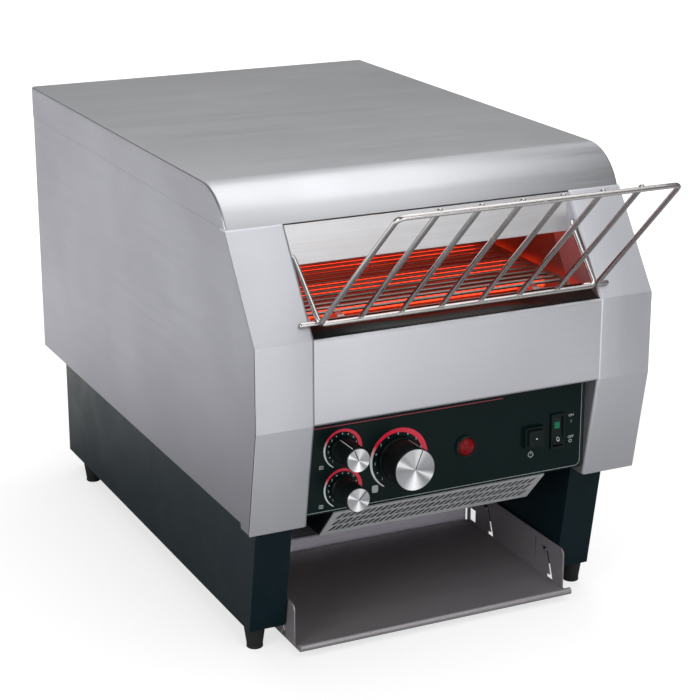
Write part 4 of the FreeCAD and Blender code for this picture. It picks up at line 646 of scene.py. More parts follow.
@dataclass(frozen=True)
class DulledSteel:
    """Plain steel that heat and crumbs have dulled, browned in patches and specked.

    Attributes:
        name: the material's name.
        tone: the metal's colour.
        stain: the colour of the heat stains.
        stained: how strong the stains are.
        roughness: the middle roughness.
        specks: how many burnt specks lie on it.
    """

    name: str
    tone: Colour = (0.46, 0.45, 0.44)
    stain: Colour = (0.2, 0.13, 0.08)
    stained: float = 0.4
    roughness: float = 0.42
    specks: float = 0.4

    def material(self) -> Material:
        """Builds the material.

        Returns:
            The finished material.
        """
        material, graph, shader = start_material(self.name)
        cloud = soft_cloud(graph, 16.0, 0.65)
        speck = graph.group(EFFECTS.specks, {"Size": 330.0, "Amount": self.specks}).outputs["Speck"]
        worn = graph.mix(graph.math("MULTIPLY", cloud, self.stained), self.tone, self.stain)
        graph.feed(shader.inputs["Base Color"], graph.mix(speck, worn, (0.03, 0.02, 0.015)))
        roughen(graph, shader, cloud, self.roughness - 0.08, self.roughness + 0.15)
        graph.feed(shader.inputs["Metallic"], graph.span(speck, 0, 1, 1.0, 0.0))
        bump(graph, shader, speck, 0.3, 0.15)
        return material


@dataclass(frozen=True)
class Moulding:
    """Moulded plastic, rubber or paint with a fine surface grain.

    Attributes:
        name: the material's name.
        tone: its colour.
        roughness: the middle roughness.
        grain: how many grains lie in a metre.
        relief: the grain's height in millimetres.
        coat: the weight of a clear coat.
        haze: the colour of dust and wear in patches.
        hazed: the share of that colour.
        metallic: 1 for a metal flake finish, else 0.
        specular: the shader's specular level.
    """

    name: str
    tone: Colour
    roughness: float = 0.4
    grain: float = 1400.0
    relief: float = 0.02
    coat: float = 0.0
    haze: Colour = (0.25, 0.25, 0.26)
    hazed: float = 0.05
    metallic: float = 0.0
    specular: float = 0.5

    def material(self) -> Material:
        """Builds the material.

        Returns:
            The finished material.
        """
        material, graph, shader = start_material(self.name)
        spot = graph.add("TexCoord").outputs["Object"]
        skin = graph.add("TexNoise", {"Vector": spot, "Scale": self.grain, "Detail": 2.0}).outputs[0]
        cloud = soft_cloud(graph, 18.0, 0.6)
        paint(graph, shader, graph.math("MULTIPLY", cloud, self.hazed), self.tone, self.haze)
        roughen(graph, shader, cloud, self.roughness - 0.05, self.roughness + 0.07)
        shader.inputs["Coat Weight"].default_value = self.coat
        shader.inputs["Coat Roughness"].default_value = 0.12
        shader.inputs["Metallic"].default_value = self.metallic
        shader.inputs["Specular IOR Level"].default_value = self.specular
        bump(graph, shader, skin, 0.25, self.relief)
        return material


@dataclass(frozen=True)
class PlatedWire:
    """Bright plated wire with faint drawing marks.

    Attributes:
        name: the material's name.
        tone: the metal's colour.
        roughness: the middle roughness.
        wear: the colour where it is handled.
        worn: the share of that colour.
    """

    name: str
    tone: Colour = (0.72, 0.72, 0.74)
    roughness: float = 0.14
    wear: Colour = (0.5, 0.46, 0.42)
    worn: float = 0.25

    def material(self) -> Material:
        """Builds the material.

        Returns:
            The finished material.
        """
        material, graph, shader = start_material(self.name)
        cloud = soft_cloud(graph, 90.0, 0.7)
        paint(graph, shader, graph.math("MULTIPLY", cloud, self.worn), self.tone, self.wear)
        roughen(graph, shader, cloud, self.roughness - 0.04, self.roughness + 0.1)
        shader.inputs["Metallic"].default_value = 1.0
        bump(graph, shader, cloud, 0.1, 0.02)
        return material


@dataclass(frozen=True)
class SpunFace:
    """A spun aluminium disc, whose fine rings stretch each highlight along the radius; its base colour
    carries painted highlight streaks with painted shade between them.

    Attributes:
        name: the material's name.
        centre: the disc's middle in workshop millimetres.
        tone: the colour of the painted highlight streaks.
        dim: the colour between the painted highlight streaks, a painted shade.
        stretch: how far the rings stretch a highlight, from 0 to 1.
        roughness: the middle roughness.
        painted_rays: painted highlight streaks from the centre, as angle from +X, sharpness and weight.
    """

    name: str
    centre: Place
    tone: Colour = (0.97, 0.98, 1.0)
    dim: Colour = (0.24, 0.245, 0.26)
    stretch: float = 0.8
    roughness: float = 0.36
    painted_rays: tuple[tuple[float, float, float], ...] = (
        (153.0, 60.0, 1.0), (-27.0, 60.0, 1.0), (-92.0, 9.0, 0.85), (75.0, 14.0, 0.4), (118.0, 20.0, 0.25))

    def material(self) -> Material:
        """Builds the material. The tangent runs round the centre, and a noise of the distance from
        the centre makes some rings darker than others. Painted highlight streaks at fixed angles
        lighten the base colour, and the dim colour between them is painted shade.

        Returns:
            The finished material.
        """
        material, graph, shader = start_material(self.name)
        spot = graph.add("TexCoord").outputs["Object"]
        middle = tuple(float(v) for v in DATUM.place(np.array(self.centre)))
        arm = graph.add("VectorMath", {0: spot, 1: middle}, operation="SUBTRACT").outputs[0]
        flat = graph.add("VectorMath", {0: arm, 1: (1.0, 0.0, 1.0)}, operation="MULTIPLY").outputs[0]
        reach = graph.add("VectorMath", {0: flat}, operation="LENGTH").outputs["Value"]
        ring = graph.add("CombineXYZ", {"X": graph.math("MULTIPLY", reach, 2600.0)}).outputs[0]
        noise = graph.add("TexNoise", {"Vector": ring, "Scale": 1.0, "Detail": 2.0}).outputs[0]
        around = graph.add("VectorMath", {0: (0.0, 1.0, 0.0), 1: flat}, operation="CROSS_PRODUCT").outputs[0]
        graph.feed(shader.inputs["Tangent"],
                   graph.add("VectorMath", {0: around}, operation="NORMALIZE").outputs[0])
        shader.inputs["Anisotropic"].default_value = self.stretch
        way = graph.add("VectorMath", {0: flat}, operation="NORMALIZE").outputs[0]
        # Painted highlight: streaks at fixed angles on the disc, added to a faint ring noise, lighten the
        # base colour from dim to tone.
        painted_sheen = graph.math("MULTIPLY", noise, 0.12)
        for angle, sharpness, weight in self.painted_rays:
            ray = (math.cos(math.radians(angle)), 0.0, math.sin(math.radians(angle)))
            facing = graph.add("VectorMath", {0: way, 1: ray}, operation="DOT_PRODUCT").outputs["Value"]
            spread = graph.math("POWER", graph.math("MAXIMUM", facing, 0.0), sharpness)
            painted_sheen = graph.math("ADD", painted_sheen, graph.math("MULTIPLY", spread, weight))
        paint(graph, shader, graph.math("MINIMUM", painted_sheen, 1.0), self.dim, self.tone)
        shader.inputs["Metallic"].default_value = 1.0
        shader.inputs["Roughness"].default_value = self.roughness
        return material


@dataclass(frozen=True)
class Glow:
    """A surface that gives off light, uneven along its length.

    Attributes:
        name: the material's name.
        tone: its colour when cold.
        light: the colour of its light.
        strength: how strong the light is.
        size: how many patches lie in a metre.
        spread: how uneven the light is.
        roughness: the surface's roughness.
        specular: the shader's specular level.
    """

    name: str
    tone: Colour
    light: Colour
    strength: float
    size: float = 20.0
    spread: float = 0.3
    roughness: float = 0.4
    specular: float = 0.5

    def material(self) -> Material:
        """Builds the material.

        Returns:
            The finished material.
        """
        material, graph, shader = start_material(self.name)
        cloud = soft_cloud(graph, self.size, 0.5)
        dim = tuple(channel * (1 - self.spread) for channel in self.light)
        graph.feed(shader.inputs["Emission Color"], graph.mix(cloud, dim, self.light))
        paint(graph, shader, cloud, self.tone, tuple(c * 0.8 for c in self.tone))
        roughen(graph, shader, cloud, self.roughness, self.roughness + 0.1)
        shader.inputs["Emission Strength"].default_value = self.strength
        shader.inputs["Specular IOR Level"].default_value = self.specular
        return material


@dataclass(frozen=True)
class HeatPrint:
    """The dial's printed band, white where its UV map "heat" is 0 and red where it is 1.

    Attributes:
        name: the material's name.
        cool: the colour at the band's start.
        warm: the colour at its end.
    """

    name: str
    cool: Colour = (0.72, 0.78, 0.76)
    warm: Colour = (0.78, 0.01, 0.05)

    def material(self) -> Material:
        """Builds the material.

        Returns:
            The finished material.
        """
        material, graph, shader = start_material(self.name)
        heat = graph.add("SeparateXYZ", {0: graph.add("UVMap", uv_map="heat").outputs[0]}).outputs["X"]
        cloud = soft_cloud(graph, 60.0, 0.5)
        ink = graph.mix(heat, self.cool, self.warm)
        paint(graph, shader, graph.math("MULTIPLY", cloud, 0.08), ink, (0.1, 0.1, 0.1))
        roughen(graph, shader, cloud, 0.3, 0.4)
        return material


# Sub-assemblies


@dataclass
class Dresser:
    """Rides, dresses and reports each piece."""

    finishes: dict[str, Material]
    count: int = 0

    def piece(self, piece: Piece, body: str, slot: str, finish: str,
              replaces: Sequence[str] = ()) -> Piece:
        """Gives a new piece its finish and body.

        Args:
            piece: the object.
            body: the body that it rides on.
            slot: not used.
            finish: the finish's name.
            replaces: the nodes that it stands for.

        Returns:
            The same object.
        """
        piece.data.materials.clear()
        piece.data.materials.append(self.finishes[finish])
        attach(piece, body)
        if replaces:
            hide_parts(*replaces)
        self.count += 1
        LOG.info("%s rides on %s in %s", piece.name, body, finish)
        return piece

    def node(self, name: str, finish: str) -> None:
        """Gives a CAD node its finish.

        Args:
            name: the node.
            finish: the finish's name.
        """
        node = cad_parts[name]
        if not node.material_slots:
            node.data.materials.append(self.finishes[finish])
        for slot in node.material_slots:
            slot.material = self.finishes[finish]
        LOG.info("node %s in %s", name, finish)


@dataclass
class Shell:
    """Hood, bezels and front panel, drawn as folded sheets with small bend radii."""

    half: float = 184.0
    rear: float = 564.59
    top: float = 403.9
    edge_back: float = 57.4
    edge_height: float = 373.1
    bend_corner_back: float = 71.76
    bend_radius: float = 50.0
    side_radius: float = 2.6
    lip_return: float = 12.0
    lip_gap: float = 0.6
    cheek_edge: float = 0.4
    knee_top: float = 291.2
    knee_low: float = 220.2
    toe_back: float = 17.5
    toe_height: float = 126.9
    knee_radius: float = 2.0
    mouth_half: float = 133.84
    fold_radius: float = 1.8
    bezel_return: float = 50.0
    bezel_top: float = 372.1
    bezel_flange: float = 10.0
    bezel_rim: float = 20.0
    panel_half: float = 133.49
    panel_top: float = 290.85
    panel_top_return: float = 9.0
    panel_low_return: float = 11.0
    sheet: float = 1.2
    sill_front: float = 0.9
    sill_bend: tuple[float, float] = (5.0, 291.75)
    sill_top: tuple[float, float] = (23.0, 299.5)
    sill_sheet: float = 0.8
    apron: tuple[float, float, float, float] = (134.8, 227.7, 3.0, 16.2)

    def hood(self) -> tuple[Piece, Piece]:
        """Carries the hood's side-to-side section along its front-to-rear profile, and adds flat
        cheeks at both sides and a lip folded back under the front edge.

        Returns:
            The hood's top with its lip, and its two cheeks.
        """
        corners = [(0, self.rear, self.top), (0, self.bend_corner_back, self.top),
                   (0, self.edge_back, self.edge_height)]
        profile = rounded_path(corners, self.bend_radius, steps=17, pitch=60.0)
        tangent = np.gradient(profile, axis=0)
        tangent /= np.linalg.norm(tangent, axis=1, keepdims=True)
        outward = np.stack([tangent[:, 0], tangent[:, 2], -tangent[:, 1]], axis=-1)[:, None, :]
        lean = np.linspace(0.0, 0.5 * np.pi, 6)
        lean = np.concatenate([lean, np.pi - lean[::-1]])[None, :, None]
        middle = np.repeat([1.0, -1.0], 6)[None, :, None] * (self.half - self.side_radius)
        aside = np.array([[[-1.0, 0.0, 0.0]]])
        spine = profile[:, None, :] - outward * self.side_radius
        sheets = []
        for radius in (self.side_radius, self.side_radius - self.sheet):
            face = spine + aside * (middle + radius * np.cos(lean)) + outward * radius * np.sin(lean)
            face[:, :, 2] = np.maximum(face[:, :, 2], self.edge_height)
            sheets.append(face)
        top = shell("hood_top", *sheets)
        cheeks = []
        rim = spine[:, 0, 1:].copy()
        rim[:, 1] = np.maximum(rim[:, 1], self.edge_height)
        cheek = np.concatenate([rim, [[self.rear, self.edge_height]]])
        for side in Side:
            flat = np.column_stack([np.full(len(cheek), side.value * self.half), cheek])
            cheeks.append(slab(f"hood_cheek_{side.name}", flat, (-side.value * self.sheet, 0.0, 0.0)))
        inner = self.half - self.sheet
        low, back = self.edge_height, self.edge_back + self.lip_gap
        lip = np.array([(-inner, back, low), (inner, back, low), (inner, back + self.lip_return, low),
                        (-inner, back + self.lip_return, low)])
        hood = join("hood", [top, slab("hood_lip", lip, (0.0, 0.0, self.sheet))])
        return hood, soften(join("hood_cheeks", cheeks), self.cheek_edge)

    def front_profile(self) -> Array:
        """The bezel's outline from its top edge down to its toe, with rounded knees.

        Returns:
            Points (0, y, z) along the outline.
        """
        rise = self.edge_height - self.knee_top
        top_back = self.edge_back * (self.bezel_top - self.knee_top) / rise
        corners = [(0, top_back + self.bezel_flange, self.bezel_top), (0, top_back, self.bezel_top),
                   (0, 0, self.knee_top), (0, 0, self.knee_low), (0, self.toe_back, self.toe_height)]
        return rounded_path(corners, self.knee_radius, steps=6, pitch=40.0)

    def bezel(self, side: Side) -> Piece:
        """Carries the bezel's section, a flat face folded back at the mouth, down the front outline.

        Args:
            side: which bezel.

        Returns:
            The bezel as one folded sheet.
        """
        outline = self.front_profile()
        turn = np.linspace(0.0, 0.5 * np.pi, 6)
        radius = self.fold_radius
        bend = self.mouth_half + radius * (1 - np.cos(turn))
        across = np.concatenate([[self.mouth_half] * 2, bend, [self.half - self.bezel_rim, self.half]])
        back = np.concatenate([[self.bezel_return, 0.5 * self.bezel_return], radius * (1 - np.sin(turn)),
                               [0.0, 0.0]])
        grid = np.stack(np.broadcast_arrays(side.value * across[None, :], outline[:, 1:2] + back[None, :],
                                            outline[:, 2:3]), axis=-1)
        faces = grid_faces(*grid.shape[:2])
        name = "bezel_sheet_left" if side is Side.LEFT else "bezel_sheet_right"
        sheet = mesh_piece(name, grid.reshape(-1, 3), faces if side is Side.RIGHT else faces[:, ::-1])
        return soften(thicken(sheet, self.sheet), 0.25)

    def panel(self) -> Piece:
        """Carries the channel section of the front panel straight across.

        Returns:
            The panel as one folded sheet.
        """
        section = rounded_path([(0, self.panel_top_return, self.panel_top), (0, 0, self.panel_top),
                                (0, 0, self.knee_low), (0, self.panel_low_return, self.knee_low)],
                               self.fold_radius, steps=6, pitch=30.0)
        across = np.linspace(-self.panel_half, self.panel_half, 4)
        grid = ruled(across, section)
        faces = grid_faces(*grid.shape[:2])
        return soften(thicken(mesh_piece("front_panel_sheet", grid.reshape(-1, 3), faces), self.sheet), 0.2)

    def sill(self) -> Piece:
        """Carries the sill's section across: it lies on the panel's top flange and rises towards the belt.

        Returns:
            The sill as one folded sheet.
        """
        section = rounded_path([(0, self.sill_front, self.panel_top + self.sill_sheet), (0, *self.sill_bend),
                                (0, *self.sill_top)], 1.5, steps=4, pitch=20.0)
        across = np.linspace(-self.panel_half, self.panel_half, 4)
        grid = ruled(across, section)
        faces = grid_faces(*grid.shape[:2])[:, ::-1]
        return thicken(mesh_piece("mouth_sill", grid.reshape(-1, 3), faces), self.sill_sheet)

    def build(self, dresser: Dresser) -> None:
        """Makes and dresses the shell's sheets.

        Args:
            dresser: dresses and reports the pieces.
        """
        top, cheeks = self.hood()
        dresser.piece(top, "chassis", "stainless", "hood steel", ["hood_cover"])
        dresser.piece(cheeks, "chassis", "stainless", "side steel")
        for side, node in ((Side.LEFT, "bezel_left"), (Side.RIGHT, "bezel_right")):
            dresser.piece(self.bezel(side), "chassis", "stainless", "bezel steel", [node])
        dresser.piece(self.panel(), "chassis", "stainless", "panel steel", ["front_panel"])
        # Painted shade: the sill is a near-black sheet over the belt's front turn, which lies in shade behind
        # the panel.
        dresser.piece(self.sill(), "chassis", "panel_film", "sill painted shade")
        half, back, low, high = self.apron
        face = np.array([(-half, back, low), (half, back, low), (half, back, high), (-half, back, high)])
        apron = slab("chute_apron", face, (0.0, self.sheet, 0.0))
        dresser.piece(apron, "chassis", "inner_steel", "apron steel")


@dataclass
class FeedRack:
    """The sloped wire rack, bent from one size of wire."""

    wire: float = 2.25
    low_half: float = 127.5
    low_front: float = 0.7
    low_height: float = 303.8
    stub_half: float = 143.7
    stub_inner: float = 117.5
    stub_behind: float = 4.3
    top_half: float = 121.9
    top_front: float = -121.8
    top_height: float = 417.2
    hook_half: float = 130.0
    hook_back: float = 47.0
    hook_height: float = 349.0
    pivot_end: float = 139.2
    bend: float = 5.0
    top_bend: float = 6.0
    wires: int = 6
    tip: float = 2.5
    lift: float = 2.03

    def build(self, dresser: Dresser) -> None:
        """Makes the rack's bars and dresses them as one piece.

        Args:
            dresser: dresses and reports the piece.
        """
        parts = []
        low = (self.low_front, self.low_height)
        hook = (self.hook_back, self.hook_height)
        frame_run = [(-self.pivot_end, *hook), (-self.hook_half, *hook), (-self.low_half, *low),
                     (self.low_half, *low), (self.hook_half, *hook), (self.pivot_end, *hook)]
        parts.append(sweep("rack_bar", rounded_path(frame_run, self.bend), self.wire))
        top = (self.top_front, self.top_height)
        loop = [(-self.low_half, *low), (-self.top_half, *top), (self.top_half, *top), (self.low_half, *low)]
        parts.append(sweep("rack_loop", rounded_path(loop, self.top_bend), self.wire))
        for side in Side:
            back = self.low_front + self.stub_behind
            stub = [(side.value * x, back, self.low_height) for x in (self.stub_inner, self.stub_half)]
            parts.append(sweep(f"rack_stub_{side.name}", rounded_path(stub, 1.0), self.wire))
        slope = np.array([0.0, self.top_front - self.low_front, self.top_height - self.low_height])
        slope /= np.linalg.norm(slope)
        lift = np.array([0.0, slope[2], -slope[1]]) * self.lift
        for i in range(1, self.wires + 1):
            share = 2 * i / (self.wires + 1) - 1
            start = np.array([self.low_half * share, *low]) + lift - slope * self.tip * 0.5
            end = np.array([self.top_half * share, *top]) + lift + slope * self.tip
            parts.append(sweep(f"rack_wire_{i}", rounded_path([start, end], 1.0), self.wire))
        dresser.piece(join("feed_rack_wire", parts), "rack", "rack_chrome", "plated wire", ["feed_rack"])


@dataclass
class Knob:
    """One control knob: a turned body with a white index line, and a spun cap with a pointer."""

    name: str
    across: float
    height: float
    radius: float
    cap_radius: float
    pointer: float
    back: float = 15.5
    front: float = -12.6
    cap: float = 1.4
    shoulder: float = 3.0
    bore: float = 3.05
    bore_front: float = -8.3
    waist_share: float = 0.93
    index_half: float = 0.28
    index_lift: float = 0.06
    sides: int = 72

    def direction(self) -> Array:
        """The pointer's direction, clockwise from straight up as seen from the front."""
        turn = math.radians(self.pointer)
        return np.array([math.sin(turn), 0.0, math.cos(turn)])

    def line(self, name: str, start: float, end: float, width: float, front: float, back: float) -> Piece:
        """A thin bar along the pointer's direction.

        Args:
            name: the piece's name.
            start: its inner end's distance from the axis.
            end: its outer end's distance from the axis.
            width: its width.
            front: the y of its front face.
            back: the y of its back face.

        Returns:
            The bar.
        """
        ahead = self.direction()
        aside = np.array([ahead[2], 0.0, -ahead[0]]) * width / 2
        centre = np.array([self.across, front, self.height])
        corners = np.array([centre + ahead * start - aside, centre + ahead * start + aside,
                            centre + ahead * end + aside, centre + ahead * end - aside])
        return slab(name, corners, (0.0, back - front, 0.0))

    def build(self, dresser: Dresser) -> None:
        """Makes and dresses the knob.

        Args:
            dresser: dresses and reports the pieces.
        """
        rim = self.cap_radius + 0.5
        waist = self.radius * self.waist_share
        edge = self.back - self.shoulder
        profile = np.array([
            (self.bore, self.bore_front), (self.bore, self.back), (self.radius - 0.5, self.back),
            (self.radius, self.back - 0.4), (self.radius, edge + 0.5), (self.radius - 0.4, edge),
            (waist + 0.4, edge - 0.1), (waist, edge - 0.6), (rim + 0.15, self.front + 1.0),
            (rim, self.front + 0.4), (rim - 0.3, self.front), (0.0, self.front), (0.0, self.bore_front),
            (self.bore, self.bore_front)])
        centre = (self.across, 0.0, self.height)
        grip = lathe(self.name + "_grip", profile, centre, "y", self.sides)
        dresser.piece(grip, self.name, "knob_black", "knob plastic", [self.name + "_knob"])
        face = self.front - self.cap
        disc = np.array([(0.0, self.front), (self.cap_radius, self.front), (self.cap_radius, face + 0.25),
                         (self.cap_radius - 0.25, face), (self.cap_radius * 0.5, face), (0.0, face)])
        cap = lathe(self.name + "_disc", disc, centre, "y", self.sides)
        dresser.piece(cap, self.name, "cap_aluminium", self.name + " spun cap", [self.name + "_cap"])
        mark = self.line(self.name + "_pointer", 0.0, self.cap_radius - 0.3, 0.9, face - 0.05, face + 0.2)
        dresser.piece(mark, self.name, "knob_black", "black ink")
        ahead = self.direction()
        aside = np.array([ahead[2], 0.0, -ahead[0]]) * self.index_half
        middle = np.array([self.across, 0.0, self.height])
        near = middle + ahead * (rim + 0.1 + self.index_lift) + np.array([0.0, self.front + 1.2, 0.0])
        far = middle + ahead * (waist + self.index_lift) + np.array([0.0, edge - 0.4, 0.0])
        index = slab(self.name + "_index", np.array([near - aside, near + aside, far + aside, far - aside]),
                     -ahead * 0.5)
        dresser.piece(index, self.name, "knob_black", "white ink")


@dataclass
class Dial:
    """The printed scale round a knob: a band that widens and warms, dots and figures."""

    name: str
    across: float
    height: float
    radius: float
    start: float
    end: float
    thin: float
    thick: float
    figure_radius: float
    figure_size: float
    plane: float = 16.0
    relief: float = 0.12
    figures: tuple[tuple[str, float], ...] = (("1", -136), ("2", -94), ("3", -49), ("4", -2), ("5", 47))
    dots: tuple[float, ...] = (-116, -72, -26, 22, 70)
    dot_share: float = 0.26
    dot_sides: int = 16
    steps: int = 97
    widening: float = 0.8
    warm_from: float = 0.27
    warm_over: float = 0.12

    def band(self) -> Piece:
        """A flat ring sector: its outer radius is constant, and its width grows inwards with the turn.

        Returns:
            The band, whose UV map "heat" runs from 0 to 1.
        """
        turn = np.radians(np.linspace(self.start, self.end, self.steps))
        share = np.linspace(0.0, 1.0, self.steps)
        width = self.thin + (self.thick - self.thin) * share ** self.widening
        radii = np.stack([np.full_like(width, self.radius), self.radius - width], axis=-1)
        x = self.across + radii * np.sin(turn)[:, None]
        z = self.height + radii * np.cos(turn)[:, None]
        grid = np.stack([x, np.full_like(x, self.plane - self.relief), z], axis=-1)
        faces = grid_faces(self.steps, 2)
        band = mesh_piece(self.name + "_band", grid.reshape(-1, 3), faces, smooth=False)
        heat = np.clip((share - self.warm_from) / self.warm_over, 0.0, 1.0)
        layer = band.data.uv_layers.new(name="heat")
        corner = np.empty(len(band.data.loops), dtype=np.int32)
        band.data.loops.foreach_get("vertex_index", corner)
        warmth = np.repeat(heat, 2)[corner]
        layer.data.foreach_set("uv", np.stack([warmth, warmth], axis=-1).ravel().astype(np.float32))
        return band

    def spot(self, turn: float) -> tuple[float, float]:
        """The place (x, z) on the ring of figures at a turn in degrees."""
        angle = math.radians(turn)
        return (self.across + self.figure_radius * math.sin(angle),
                self.height + self.figure_radius * math.cos(angle))

    def build(self, dresser: Dresser) -> None:
        """Makes and dresses the scale.

        Args:
            dresser: dresses and reports the pieces.
        """
        dresser.piece(self.band(), "chassis", "panel_film", "dial print")
        marks = []
        for words, turn in self.figures:
            x, z = self.spot(turn)
            name = f"{self.name}_figure_{words}"
            marks.append(lettering(name, words, self.figure_size, (x, self.plane, z), self.relief))
        spin = np.linspace(0, 2 * np.pi, self.dot_sides, endpoint=False)
        level = np.full_like(spin, self.plane - self.relief)
        size = self.figure_size * self.dot_share
        face = [list(range(self.dot_sides))[::-1]]
        for i, turn in enumerate(self.dots):
            x, z = self.spot(turn)
            ring = np.stack([x + size * np.sin(spin), level, z + size * np.cos(spin)], axis=-1)
            marks.append(mesh_piece(f"{self.name}_dot_{i}", ring, face, smooth=False))
        dresser.piece(join(self.name + "_figures", marks), "chassis", "panel_film", "white ink")


@dataclass
class PanelPrint:
    """Lines, pictograms and plain switch marks printed on the control panel."""

    plane: float = 16.0
    relief: float = 0.12
    left: float = -133.0
    right: float = 128.2
    bottom: float = 137.3
    top: float = 216.0
    corner: float = 5.0
    line: float = 0.55
    stripe: tuple[float, float] = (50.0, 210.5)
    stripe_width: float = 0.7
    top_grid: tuple[float, float] = (-119.9, 176.3)
    low_grid: tuple[float, float] = (-120.3, 141.9)
    grid_size: tuple[float, float] = (3.4, 2.6)
    words: tuple[tuple[str, str, tuple[float, float]], ...] = (
        ("mark_on", "ON", (118.2, 184.7)),
        ("mark_one", "I", (118.4, 179.1)),
        ("mark_off", "OFF", (118.4, 164.8)),
    )
    letter_size: float = 2.3
    zero: tuple[float, float] = (118.1, 161.2)
    standby: tuple[float, float] = (78.6, 154.8)
    standby_bar: float = 3.6
    shade: tuple[float, float] = (-70.8, 149.1)
    shade_half: tuple[float, float] = (2.9, 3.3)
    shade_power: float = 0.45

    def stroke(self, name: str, path: Path, width: float, radius: float = 0.5,
               closed: bool = False) -> Piece:
        """A flat line of even width along a path on the panel.

        Args:
            name: the piece's name.
            path: corners as (x, z).
            width: the line's width.
            radius: the radius of its corners.
            closed: whether the path is a closed loop.

        Returns:
            The line.
        """
        corners = [(x, self.plane, z) for x, z in path]
        points = np.array(corners, float) if closed else rounded_path(corners, radius, steps=6, pitch=40.0)
        if closed:
            ahead = np.roll(points, -1, axis=0) - np.roll(points, 1, axis=0)
        else:
            ahead = np.gradient(points, axis=0)
        ahead /= np.linalg.norm(ahead, axis=1, keepdims=True)
        aside = np.stack([-ahead[:, 2], np.zeros(len(points)), ahead[:, 0]], axis=-1) * width / 2
        grid = np.stack([points + aside, points - aside], axis=1)
        grid[:, :, 1] = self.plane - self.relief
        faces = grid_faces(len(points), 2, wrap_rows=closed)
        return mesh_piece(name, grid.reshape(-1, 3), faces, smooth=False)

    def ring(self, name: str, x: float, z: float, radius: float, width: float) -> Piece:
        """A printed circle."""
        spin = np.linspace(0, 2 * np.pi, 32, endpoint=False)
        circle = np.stack([x + radius * np.sin(spin), z + radius * np.cos(spin)], axis=-1)
        return self.stroke(name, circle, width, closed=True)

    def heater_mark(self, name: str, x: float, z: float) -> list[Piece]:
        """A small pictogram of a heating grid.

        Args:
            name: the first part of the pieces' names.
            x: its middle.
            z: its middle.

        Returns:
            Its strokes.
        """
        wide, high = self.grid_size
        left, right, low, top = x - wide / 2, x + wide / 2, z - high / 2, z + high / 2
        bars = [self.stroke(f"{name}_rail_{i}", [(left, level), (right, level)], 0.35)
                for i, level in enumerate((low, top))]
        bars += [self.stroke(f"{name}_bar_{i}", [(spot, low), (spot, top)], 0.35)
                 for i, spot in enumerate(np.linspace(left, right, 4))]
        return bars

    def slice_mark(self, name: str, x: float, z: float) -> Piece:
        """A filled square with rounded corners, the shade pictogram.

        Args:
            name: the piece's name.
            x: its middle.
            z: its middle.

        Returns:
            The flat mark.
        """
        turn = np.linspace(0, 2 * np.pi, 40, endpoint=False)
        half_wide, half_high = self.shade_half
        xs = x + half_wide * np.sign(np.cos(turn)) * np.abs(np.cos(turn)) ** self.shade_power
        zs = z + half_high * np.sign(np.sin(turn)) * np.abs(np.sin(turn)) ** self.shade_power
        points = np.stack([xs, np.full_like(xs, self.plane - self.relief), zs], axis=-1)
        return mesh_piece(name, points, [list(range(40))], smooth=False)

    def build(self, dresser: Dresser) -> None:
        """Makes and dresses the prints.

        Args:
            dresser: dresses and reports the pieces.
        """
        edge = [(self.left, self.bottom), (self.right, self.bottom), (self.right, self.top)]
        border = self.stroke("panel_border", edge, self.line, self.corner)
        dresser.piece(border, "chassis", "panel_film", "grey ink")
        stripe = self.stroke("panel_stripe", [(self.left, self.stripe[1]), self.stripe], self.stripe_width)
        dresser.piece(stripe, "chassis", "panel_film", "red ink")
        marks = self.heater_mark("mark_top", *self.top_grid)
        marks += self.heater_mark("mark_bottom", *self.low_grid)
        for name, words, (x, z) in self.words:
            marks.append(lettering(name, words, self.letter_size, (x, self.plane, z), self.relief))
        marks.append(self.ring("mark_zero", *self.zero, 1.3, 0.35))
        x, z = self.standby
        marks.append(self.ring("mark_standby_ring", x, z, 2.4, 0.4))
        marks.append(self.stroke("mark_standby_bar", [(x, z), (x, z + self.standby_bar)], 0.4))
        dresser.piece(join("panel_marks", marks), "chassis", "panel_film", "white ink")
        dresser.piece(self.slice_mark("mark_shade", *self.shade), "chassis", "panel_film", "pale ink")


